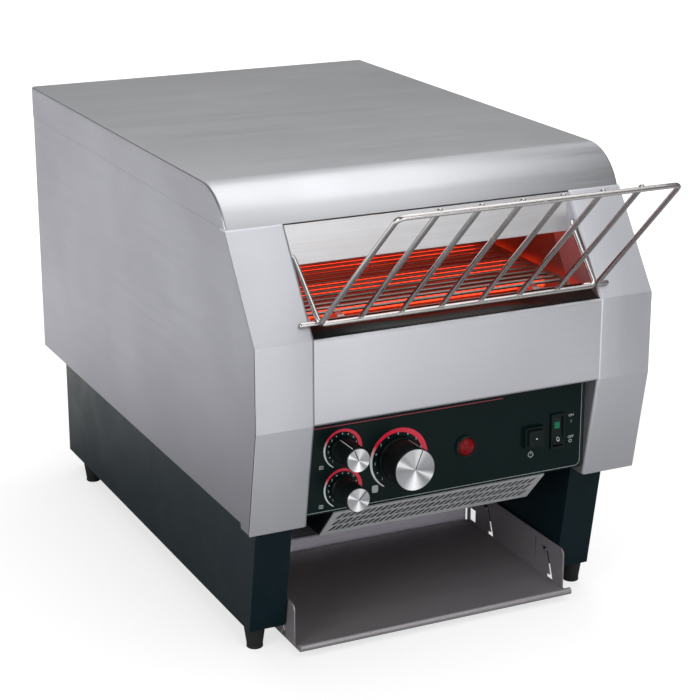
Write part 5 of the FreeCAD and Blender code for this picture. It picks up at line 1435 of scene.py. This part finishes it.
@dataclass
class Switches:
    """Lamp lens, push button and rocker with its lit window."""

    lamp: tuple[float, float] = (14.5, 172.9)
    lamp_radius: float = 7.9
    lamp_rim: float = 9.3
    lamp_front: float = 14.7
    lamp_dome: float = 4.5
    lamp_seat: float = 1.3
    lamp_ripple: float = 0.1
    lamp_rings: int = 9
    rocker: tuple[float, float] = (104.5, 172.4)
    rocker_pivot: float = 19.0
    rocker_half_length: float = 12.3
    rocker_width: float = 9.6
    rocker_face: float = 5.0
    rocker_dip: float = 1.8
    rocker_back: float = 4.5
    rocker_tilt: float = 8.0
    button: tuple[float, float] = (80.1, 171.3)
    button_front: float = 8.8
    button_back: float = 24.8
    button_side: float = 14.2

    def lens(self) -> Piece:
        """A ribbed dome: the height falls with the square of the radius, and shallow rings ripple it.

        Returns:
            The closed lens.
        """
        share = np.linspace(1.0, 0.0, 40)
        height = self.lamp_dome * (1 - share ** 2) ** 0.8
        ripple = self.lamp_ripple * np.cos(share * self.lamp_rings * 2 * np.pi) * (share < 0.9)
        rise = np.maximum(height + ripple - self.lamp_ripple, 0.0)
        rows = np.stack([share * self.lamp_radius, self.lamp_front - rise], axis=-1)
        profile = np.concatenate([[(0.0, self.lamp_front)], rows])
        return lathe("lamp_dome", profile, (self.lamp[0], 0.0, self.lamp[1]), "y", 64)

    def lens_ring(self) -> Piece:
        """A rounded black ring round the lens.

        Returns:
            The closed ring.
        """
        inner, outer, front = self.lamp_radius - 0.1, self.lamp_rim, self.lamp_front
        back = front + self.lamp_seat
        profile = np.array([(inner, back), (inner, front - 1.1), (inner + 0.4, front - 1.4),
                            (outer - 0.4, front - 1.1), (outer, front - 0.6), (outer, back), (inner, back)])
        return lathe("lamp_ring", profile, (self.lamp[0], 0.0, self.lamp[1]), "y", 64)

    def rocker_face_points(self, count: int) -> Array:
        """The rocker's dished face: depth is greatest at its middle and 0 at both ends.

        Args:
            count: points along the face.

        Returns:
            Rows (y, z) about the pivot, before it is tipped.
        """
        share = np.linspace(-1.0, 1.0, count)
        back = -self.rocker_face + self.rocker_dip * (1 - share ** 2)
        return np.stack([back, share * self.rocker_half_length], axis=-1)

    def tip(self, points: Array) -> Array:
        """Turns points (y, z) about the pivot by the rocker's resting tilt and moves them to it."""
        turn = -math.radians(self.rocker_tilt)
        y = points[..., 0] * math.cos(turn) - points[..., 1] * math.sin(turn)
        z = points[..., 0] * math.sin(turn) + points[..., 1] * math.cos(turn)
        return np.stack([y + self.rocker_pivot, z + self.rocker[1]], axis=-1)

    def rocker_body(self) -> Piece:
        """Carries the rocker's side outline across its width.

        Returns:
            The closed rocker.
        """
        face = self.rocker_face_points(21)
        rear = np.array([(self.rocker_back - self.rocker_dip, 0.62), (self.rocker_back, 0.0),
                         (self.rocker_back - self.rocker_dip, -0.62)])
        rear[:, 1] *= self.rocker_half_length
        outline = self.tip(np.concatenate([face, rear]))
        left = self.rocker[0] - self.rocker_width / 2
        points = np.column_stack([np.full(len(outline), left), outline])
        return soften(slab("rocker_cap", points, (self.rocker_width, 0.0, 0.0)), 0.35)

    def rocker_patch(self, name: str, low: float, high: float, half_width: float, lift: float) -> Piece:
        """A thin patch that follows the rocker's face.

        Args:
            name: the piece's name.
            low: its lower end, as a share of half the rocker's length.
            high: its upper end, likewise.
            half_width: half its width.
            lift: how far it stands off the face.

        Returns:
            The patch.
        """
        share = np.linspace(low, high, 9)
        back = -self.rocker_face + self.rocker_dip * (1 - share ** 2) - lift
        spots = self.tip(np.stack([back, share * self.rocker_half_length], axis=-1))
        across = np.array([-half_width, half_width]) + self.rocker[0]
        grid = np.stack(np.broadcast_arrays(across[None, :], spots[:, :1], spots[:, 1:]), axis=-1)
        return mesh_piece(name, grid.reshape(-1, 3), grid_faces(9, 2)[:, ::-1])

    def rocker_zero(self) -> Piece:
        """A printed ring on the rocker's lower half.

        Returns:
            The ring.
        """
        spin = np.linspace(0, 2 * np.pi, 33)
        radius = np.array([1.9, 1.35])
        across = self.rocker[0] + radius[None, :] * 0.8 * np.sin(spin)[:, None]
        along = -0.62 * self.rocker_half_length + radius[None, :] * np.cos(spin)[:, None]
        share = along / self.rocker_half_length
        back = -self.rocker_face + self.rocker_dip * (1 - share ** 2) - 0.08
        spots = self.tip(np.stack([back, along], axis=-1))
        grid = np.concatenate([across[..., None], spots], axis=-1)
        return mesh_piece("rocker_zero", grid.reshape(-1, 3), grid_faces(33, 2))

    def build(self, dresser: Dresser) -> None:
        """Makes and dresses the switches.

        Args:
            dresser: dresses and reports the pieces.
        """
        dresser.piece(self.lens(), "chassis", "lamp_red", "red lens", ["lamp_lens"])
        dresser.piece(self.lens_ring(), "chassis", "lamp_red", "gloss plastic")
        dresser.piece(self.rocker_body(), "rocker", "rocker_black", "gloss plastic", ["power_rocker"])
        dresser.piece(self.rocker_patch("rocker_window", 0.14, 0.6, 2.6, 0.08), "rocker", "rocker_black",
                      "green window")
        dresser.piece(self.rocker_zero(), "rocker", "rocker_black", "white ink")
        x, z = self.button
        half = self.button_side / 2
        corners = np.array([(x - half, self.button_front, z - half), (x + half, self.button_front, z - half),
                            (x + half, self.button_front, z + half), (x - half, self.button_front, z + half)])
        depth = (0.0, self.button_back - self.button_front, 0.0)
        block = soften(slab("button_block", corners, depth), 0.6, 3)
        dresser.piece(block, "button", "button_black", "black plastic", ["standby_button"])
        dot = lathe("button_dot", np.array([(0.0, self.button_front - 0.08), (0.7, self.button_front - 0.08),
                                            (0.7, self.button_front + 0.3), (0.0, self.button_front + 0.3)]),
                    (x, 0.0, z), "y", 20)
        dresser.piece(dot, "button", "button_black", "white ink")


@dataclass
class Feet:
    """Four turned rubber feet with a small rim at the tip."""

    across: float = 158.5
    backs: tuple[float, float] = (70.0, 496.99)
    height: float = 20.0
    top_radius: float = 9.3
    tip_radius: float = 7.2

    def build(self, dresser: Dresser) -> None:
        """Makes and dresses the feet as one piece.

        Args:
            dresser: dresses and reports the piece.
        """
        tip, top, height = self.tip_radius, self.top_radius, self.height
        profile = np.array([(0.0, 0.0), (tip - 0.5, 0.0), (tip, 0.5), (tip, 2.2), (tip - 0.35, 2.6),
                            (tip - 0.2, 3.2), (top, height - 0.6), (top, height), (0.0, height)])
        feet = [lathe(f"foot_{side.name}_{i}", profile, (side.value * self.across, back, 0.0), "z", 40)
                for side in Side for i, back in enumerate(self.backs)]
        dresser.piece(join("rubber_feet", feet), "chassis", "foot_rubber", "foot rubber", ["feet"])


# Finishes and CAD nodes


def make_finishes() -> dict[str, Material]:
    """Builds every finish of the machine.

    Returns:
        The materials by name.
    """
    recipes = [
        BrushedSteel("hood steel", (0.435, 0.44, 0.46), Grain.ACROSS, 0.34, 0.06),
        BrushedSteel("bezel steel", (0.5, 0.505, 0.54), Grain.UPRIGHT, 0.46, 0.04),
        BrushedSteel("panel steel", (0.54, 0.545, 0.58), Grain.ACROSS, 0.46, 0.05),
        BrushedSteel("side steel", (0.265, 0.266, 0.295), Grain.DEPTH, 0.46, 0.06),
        BrushedSteel("tray steel", (0.37, 0.35, 0.37), Grain.ACROSS, 0.4, metallic=0.5),
        BrushedSteel("guard steel", (0.92, 0.96, 1.0), Grain.ACROSS, 0.35, metallic=0.5),
        BrushedSteel("apron steel", (0.8, 0.76, 0.86), Grain.ACROSS, 0.45, metallic=0.2),
        BrushedSteel("shield steel", (0.7, 0.7, 0.72), Grain.ACROSS, 0.4,
                     tint=(0.7, 0.62, 0.56), tinted=0.25),
        BrushedSteel("rear steel", (0.4, 0.405, 0.42), Grain.UPRIGHT, 0.45),
        BrushedSteel("plain steel", (0.36, 0.37, 0.39), Grain.DEPTH, 0.45, tinted=0.4),
        DulledSteel("chamber steel", (0.3, 0.28, 0.27), stained=0.5, roughness=0.42),
        DulledSteel("chute steel", (0.68, 0.68, 0.76), stained=0.15, roughness=0.4, specks=0.2),
        DulledSteel("belt steel", (0.3, 0.28, 0.27), stained=0.5, roughness=0.42, specks=0.3),
        DulledSteel("shaft steel", (0.5, 0.5, 0.5), stained=0.2, roughness=0.3, specks=0.1),
        DulledSteel("bearing bronze", (0.55, 0.38, 0.2), (0.3, 0.18, 0.08), 0.3, 0.4, 0.1),
        Moulding("pod paint", (0.002, 0.012, 0.015), 0.4, 900.0, 0.015, 0.0,
                 (0.01, 0.02, 0.032), 0.4, 0.0, 0.14),
        Moulding("panel film", (0.001, 0.009, 0.0085), 0.3, 600.0, 0.004, 0.0,
                 (0.002, 0.01, 0.01), 0.2, 0.0, 0.1),
        # Painted shade: near-black for the sill that covers the shaded belt turn in the mouth.
        Moulding("sill painted shade", (0.003, 0.007, 0.006), 0.22, 600.0, 0.004, 0.0,
                 (0.01, 0.014, 0.012), 0.2, 0.0, 0.15),
        # Painted shade: the control box is near-black so the vent guard's slots look dark.
        Moulding("box painted shade", (0.008, 0.012, 0.013), 0.4, 900.0, 0.01, 0.0,
                 (0.03, 0.03, 0.03), 0.2, 0.0, 0.2),
        Moulding("knob plastic", (0.003, 0.006, 0.006), 0.36, 1500.0, 0.01, 0.0,
                 (0.02, 0.024, 0.024), 0.1, 0.0, 0.12),
        Moulding("black plastic", (0.003, 0.008, 0.008), 0.45, 1500.0, 0.02, 0.0,
                 (0.02, 0.024, 0.024), 0.15, 0.0, 0.14),
        Moulding("gloss plastic", (0.003, 0.009, 0.009), 0.28, 1200.0, 0.005, 0.0,
                 (0.02, 0.024, 0.024), 0.1, 0.0, 0.22),
        Moulding("fan plastic", (0.02, 0.02, 0.022), 0.5, 1200.0, 0.02, 0.0,
                 (0.2, 0.19, 0.17), 0.25),
        Moulding("foot rubber", (0.01, 0.012, 0.013), 0.6, 1100.0, 0.05, 0.0,
                 (0.05, 0.05, 0.05), 0.3, 0.0, 0.3),
        Moulding("glazed ceramic", (0.74, 0.7, 0.62), 0.25, 500.0, 0.01, 0.4,
                 (0.4, 0.32, 0.24), 0.3),
        Moulding("cast casing", (0.5, 0.5, 0.52), 0.45, 700.0, 0.06, 0.0,
                 (0.2, 0.2, 0.2), 0.3, 1.0),
        Moulding("motor enamel", (0.03, 0.03, 0.035), 0.35, 700.0, 0.02, 0.2, (0.1, 0.1, 0.1), 0.2),
        Moulding("board lacquer", (0.02, 0.13, 0.06), 0.3, 900.0, 0.02, 0.3, (0.1, 0.2, 0.12), 0.4),
        Moulding("white ink", (0.66, 0.72, 0.72), 0.4, 2000.0, 0.004, 0.0, (0.5, 0.5, 0.5), 0.2),
        Moulding("pale ink", (0.42, 0.47, 0.46), 0.4, 2000.0, 0.004, 0.0, (0.3, 0.3, 0.3), 0.3),
        Moulding("grey ink", (0.3, 0.34, 0.34), 0.4, 2000.0, 0.004, 0.0, (0.2, 0.2, 0.2), 0.2),
        Moulding("red ink", (0.42, 0.04, 0.07), 0.4, 2000.0, 0.004, 0.0, (0.2, 0.05, 0.05), 0.2),
        Moulding("black ink", (0.01, 0.01, 0.01), 0.4, 2000.0, 0.004),
        PlatedWire("plated wire", (0.42, 0.41, 0.41), 0.2),
        Glow("hot tube", (0.3, 0.08, 0.04), (1.0, 0.05, 0.015), 3.2, 14.0, 0.35),
        Glow("red lens", (0.16, 0.0, 0.001), (0.5, 0.0, 0.002), 0.09, 140.0, 0.4, 0.25, 0.2),
        Glow("green window", (0.001, 0.06, 0.03), (0.0, 0.3, 0.12), 0.45, 260.0, 0.6, 0.3, 0.2),
        HeatPrint("dial print"),
    ]
    recipes += [SpunFace(f"{name} spun cap", (x, CAP_FACE, z)) for name, (x, z) in KNOB_SPOTS.items()]
    return {recipe.name: recipe.material() for recipe in recipes}


NODE_FINISHES: dict[str, tuple[str, ...]] = {
    "side steel": ("side_panel_left", "side_panel_right"),
    "tray steel": ("collecting_tray",),
    "guard steel": ("vent_guard",),
    "shield steel": ("heat_shield",),
    "rear steel": ("rear_cover",),
    "plain steel": ("bottom_plate", "base_pan", "cover_screws"),
    # The control box takes the near-black painted shade seen through the vent guard.
    "box painted shade": ("control_box",),
    "chamber steel": ("upper_reflector", "lower_reflector", "inner_wall_left", "inner_wall_right"),
    "chute steel": ("toast_chute", "crumb_tray"),
    "belt steel": ("conveyor_rods", "conveyor_bands"),
    "shaft steel": ("drive_shaft", "idler_shaft", "drive_wheels", "idler_wheels", "shaft_sprocket",
                    "motor_sprocket", "drive_chain", "tray_pins"),
    "bearing bronze": ("shaft_bearings",),
    "pod paint": ("base_left", "base_right"),
    "panel film": ("control_panel",),
    "black plastic": ("button_housing", "rocker_housing", "heat_switches", "speed_control", "terminal_block",
                      "cord_gland", "lamp_holder"),
    "fan plastic": ("fan_frame", "fan_rotor"),
    "glazed ceramic": ("element_insulators",),
    "cast casing": ("gearbox",),
    "motor enamel": ("drive_motor",),
    "board lacquer": ("circuit_board",),
    "hot tube": ("upper_elements", "lower_elements"),
}


# Studio


@dataclass
class Studio:
    """Camera, floor, world and lamps.

    Attributes:
        lens: the camera's lens in millimetres.
        distance: from the target to the camera in millimetres.
        soft: the world's light on dull surfaces.
        overhead: how bright metal and glass see the world above.
        floor_ring: where the floor's glow grows, in metres from the machine.
        mirror_ring: the same for what metal and glass see of the floor.
        mirror_fade: where that glow fades across X.
        lamps: name, place, target, width and height in metres, and watts.
    """

    lens: float = 102.03
    azimuth: float = -25.76
    elevation: float = 17.99
    distance: float = 1580.0
    target: Place = (-101.55, 0.0, 279.4)
    soft: float = 0.3
    horizon: tuple[float, float] = (-0.02, 0.1)
    overhead: float = 0.22
    floor_reach: float = 14000.0
    floor_tone: float = 0.35
    floor_ring: tuple[float, float] = (0.35, 1.2)
    floor_near: float = 0.7
    mirror_ring: tuple[float, float] = (0.4, 0.8)
    mirror_near: float = 0.05
    mirror_far: float = 1.35
    mirror_fade: tuple[float, float] = (0.0, 0.7)
    mirror_right: float = 0.0
    lamps: tuple[tuple[str, Place, Place, tuple[float, float], float], ...] = (
        ("front", (0.3, -1.15, 1.5), (0.0, -0.2, 0.25), (1.4, 1.2), 7.6),
        ("key", (-1.75, -0.85, 0.85), (0.0, 0.0, 0.2), (0.9, 0.9), 12.0),
        ("overhead", (0.3, 0.4, 2.2), (0.3, 0.4, 0.0), (2.0, 2.4), 33.0),
        ("back", (0.6, 2.0, 1.65), (0.0, 0.0, 0.4), (3.4, 0.8), 8.0),
        ("low", (0.05, -1.35, 0.4), (0.0, -0.2, 0.15), (0.8, 0.4), 3.0))

    def camera(self) -> None:
        """Places the camera at the photographed viewing angle."""
        data = bpy.data.cameras.new("camera")
        data.lens = self.lens
        data.sensor_width = 36.0
        data.clip_start = 0.05
        data.clip_end = 50.0
        camera = bpy.data.objects.new("camera", data)
        bpy.context.scene.collection.objects.link(camera)
        turn, rise = math.radians(self.azimuth), math.radians(self.elevation)
        back = np.array([math.sin(turn) * math.cos(rise), -math.cos(turn) * math.cos(rise), math.sin(rise)])
        camera.location = DATUM.place(np.array(self.target) + back * self.distance)
        camera.rotation_mode = "QUATERNION"
        camera.rotation_quaternion = Vector(-back).to_track_quat("-Z", "Y")
        bpy.context.scene.camera = camera

    def lamp(self, name: str, place: Sequence[float], aim: Sequence[float], size: tuple[float, float],
             power: float) -> None:
        """Adds a rectangular soft light.

        Args:
            name: the lamp's name.
            place: its place in metres.
            aim: the point that it faces.
            size: its width and height in metres.
            power: its power in watts.
        """
        data = bpy.data.lights.new(name, "AREA")
        data.shape = "RECTANGLE"
        data.size, data.size_y = size
        data.energy = power
        lamp = bpy.data.objects.new(name, data)
        lamp.location = place
        lamp.rotation_euler = (Vector(aim) - Vector(place)).to_track_quat("-Z", "Y").to_euler()
        bpy.context.scene.collection.objects.link(lamp)

    def seen(self, graph: Graph) -> Socket:
        """Is 1 for what the camera sees, straight on or in metal or glass, and 0 for other light."""
        path = graph.add("LightPath").outputs
        mirrored = graph.math("MAXIMUM", path["Is Glossy Ray"], path["Is Transmission Ray"])
        return graph.math("MAXIMUM", path["Is Camera Ray"], mirrored)

    def world(self) -> None:
        """A soft world that looks white at its horizon and greyer overhead."""
        world = bpy.data.worlds.new("studio")
        world.use_nodes = True
        world.node_tree.nodes.clear()
        graph = Graph(world.node_tree)
        way = graph.add("TexCoord").outputs["Generated"]
        rise = graph.add("SeparateXYZ", {0: way}).outputs["Z"]
        low, high = self.horizon
        look = graph.span(rise, low, high, 1.0, self.overhead)
        seen = self.seen(graph)
        shown = graph.math("MULTIPLY", look, seen)
        hidden = graph.math("MULTIPLY", self.soft, graph.math("SUBTRACT", 1.0, seen))
        light = graph.add("Background", {"Color": (1.0, 1.0, 1.0, 1.0),
                                         "Strength": graph.math("ADD", shown, hidden)})
        graph.add("OutputWorld", {"Surface": light.outputs[0]})
        bpy.context.scene.world = world

    def floor(self) -> None:
        """A wide pale floor that looks white, and keeps the shadow near the machine."""
        reach = self.floor_reach
        ground = [(x * reach, y * reach, -0.01) for x, y in ((-1, -1), (1, -1), (1, 1), (-1, 1))]
        floor = mesh_piece("floor", np.array(ground), [[0, 1, 2, 3]], smooth=False)
        material, graph, shader = start_material("floor paper")
        cloud = soft_cloud(graph, 1.2, 0.3)
        paint(graph, shader, cloud, (self.floor_tone,) * 3, (self.floor_tone + 0.02,) * 3)
        shader.inputs["Roughness"].default_value = 0.9
        shader.inputs["Specular IOR Level"].default_value = 0.1
        spot = graph.add("TexCoord").outputs["Object"]
        away = graph.add("VectorMath", {0: spot}, operation="LENGTH").outputs["Value"]
        across = graph.add("SeparateXYZ", {0: spot}).outputs["X"]
        shown = graph.span(away, *self.floor_ring, self.floor_near, 1.0)
        ring = graph.span(away, *self.mirror_ring, self.mirror_near, self.mirror_far)
        fade = graph.span(across, *self.mirror_fade, 1.0, self.mirror_right)
        mirrored = graph.math("MULTIPLY", ring, fade)
        path = graph.add("LightPath").outputs
        glow = graph.math("ADD", graph.math("MULTIPLY", shown, path["Is Camera Ray"]),
                          graph.math("MULTIPLY", mirrored, graph.math("MAXIMUM", path["Is Glossy Ray"],
                                                                      path["Is Transmission Ray"])))
        shader.inputs["Emission Color"].default_value = (1.0, 1.0, 1.0, 1.0)
        graph.feed(shader.inputs["Emission Strength"], glow)
        floor.data.materials.append(material)

    def build(self) -> None:
        """Sets the view, the floor, the world and the lamps."""
        bpy.context.scene.view_settings.view_transform = "Standard"
        self.camera()
        self.world()
        self.floor()
        for lamp in self.lamps:
            self.lamp(*lamp)


def corners(box: tuple[Vector, Vector]) -> list[list[float]]:
    """A box's two corners as plain lists."""
    return [list(map(float, corner)) for corner in box]


def main() -> None:
    """Builds the studio, dresses the nodes and makes every new piece."""
    logging.basicConfig(level=logging.INFO, format="%(name)s: %(message)s")
    Studio().build()
    dresser = Dresser(make_finishes())
    for finish, names in NODE_FINISHES.items():
        for name in names:
            dresser.node(name, finish)
    Shell().build(dresser)
    FeedRack().build(dresser)
    small, large = (11.2, 10.0), (19.4, 17.8)
    knobs = (("top_heat", small, -23.3), ("bottom_heat", small, 45.7), ("color", large, 22.1))
    for name, radii, pointer in knobs:
        Knob(name, *KNOB_SPOTS[name], *radii, pointer).build(dresser)
    narrow, wide = (17.5, -150, 95, 0.8, 3.3, 13.2, 2.0), (26.9, -149, 87, 0.9, 5.0, 22.0, 2.3)
    dials = (("top", "top_heat", narrow), ("bottom", "bottom_heat", narrow), ("color", "color", wide))
    for name, knob, band in dials:
        Dial(f"{name}_dial", *KNOB_SPOTS[knob], *band).build(dresser)
    PanelPrint().build(dresser)
    Switches().build(dresser)
    Feet().build(dresser)
    LOG.info("%d new pieces", dresser.count)


if __name__ == "__main__":
    main()
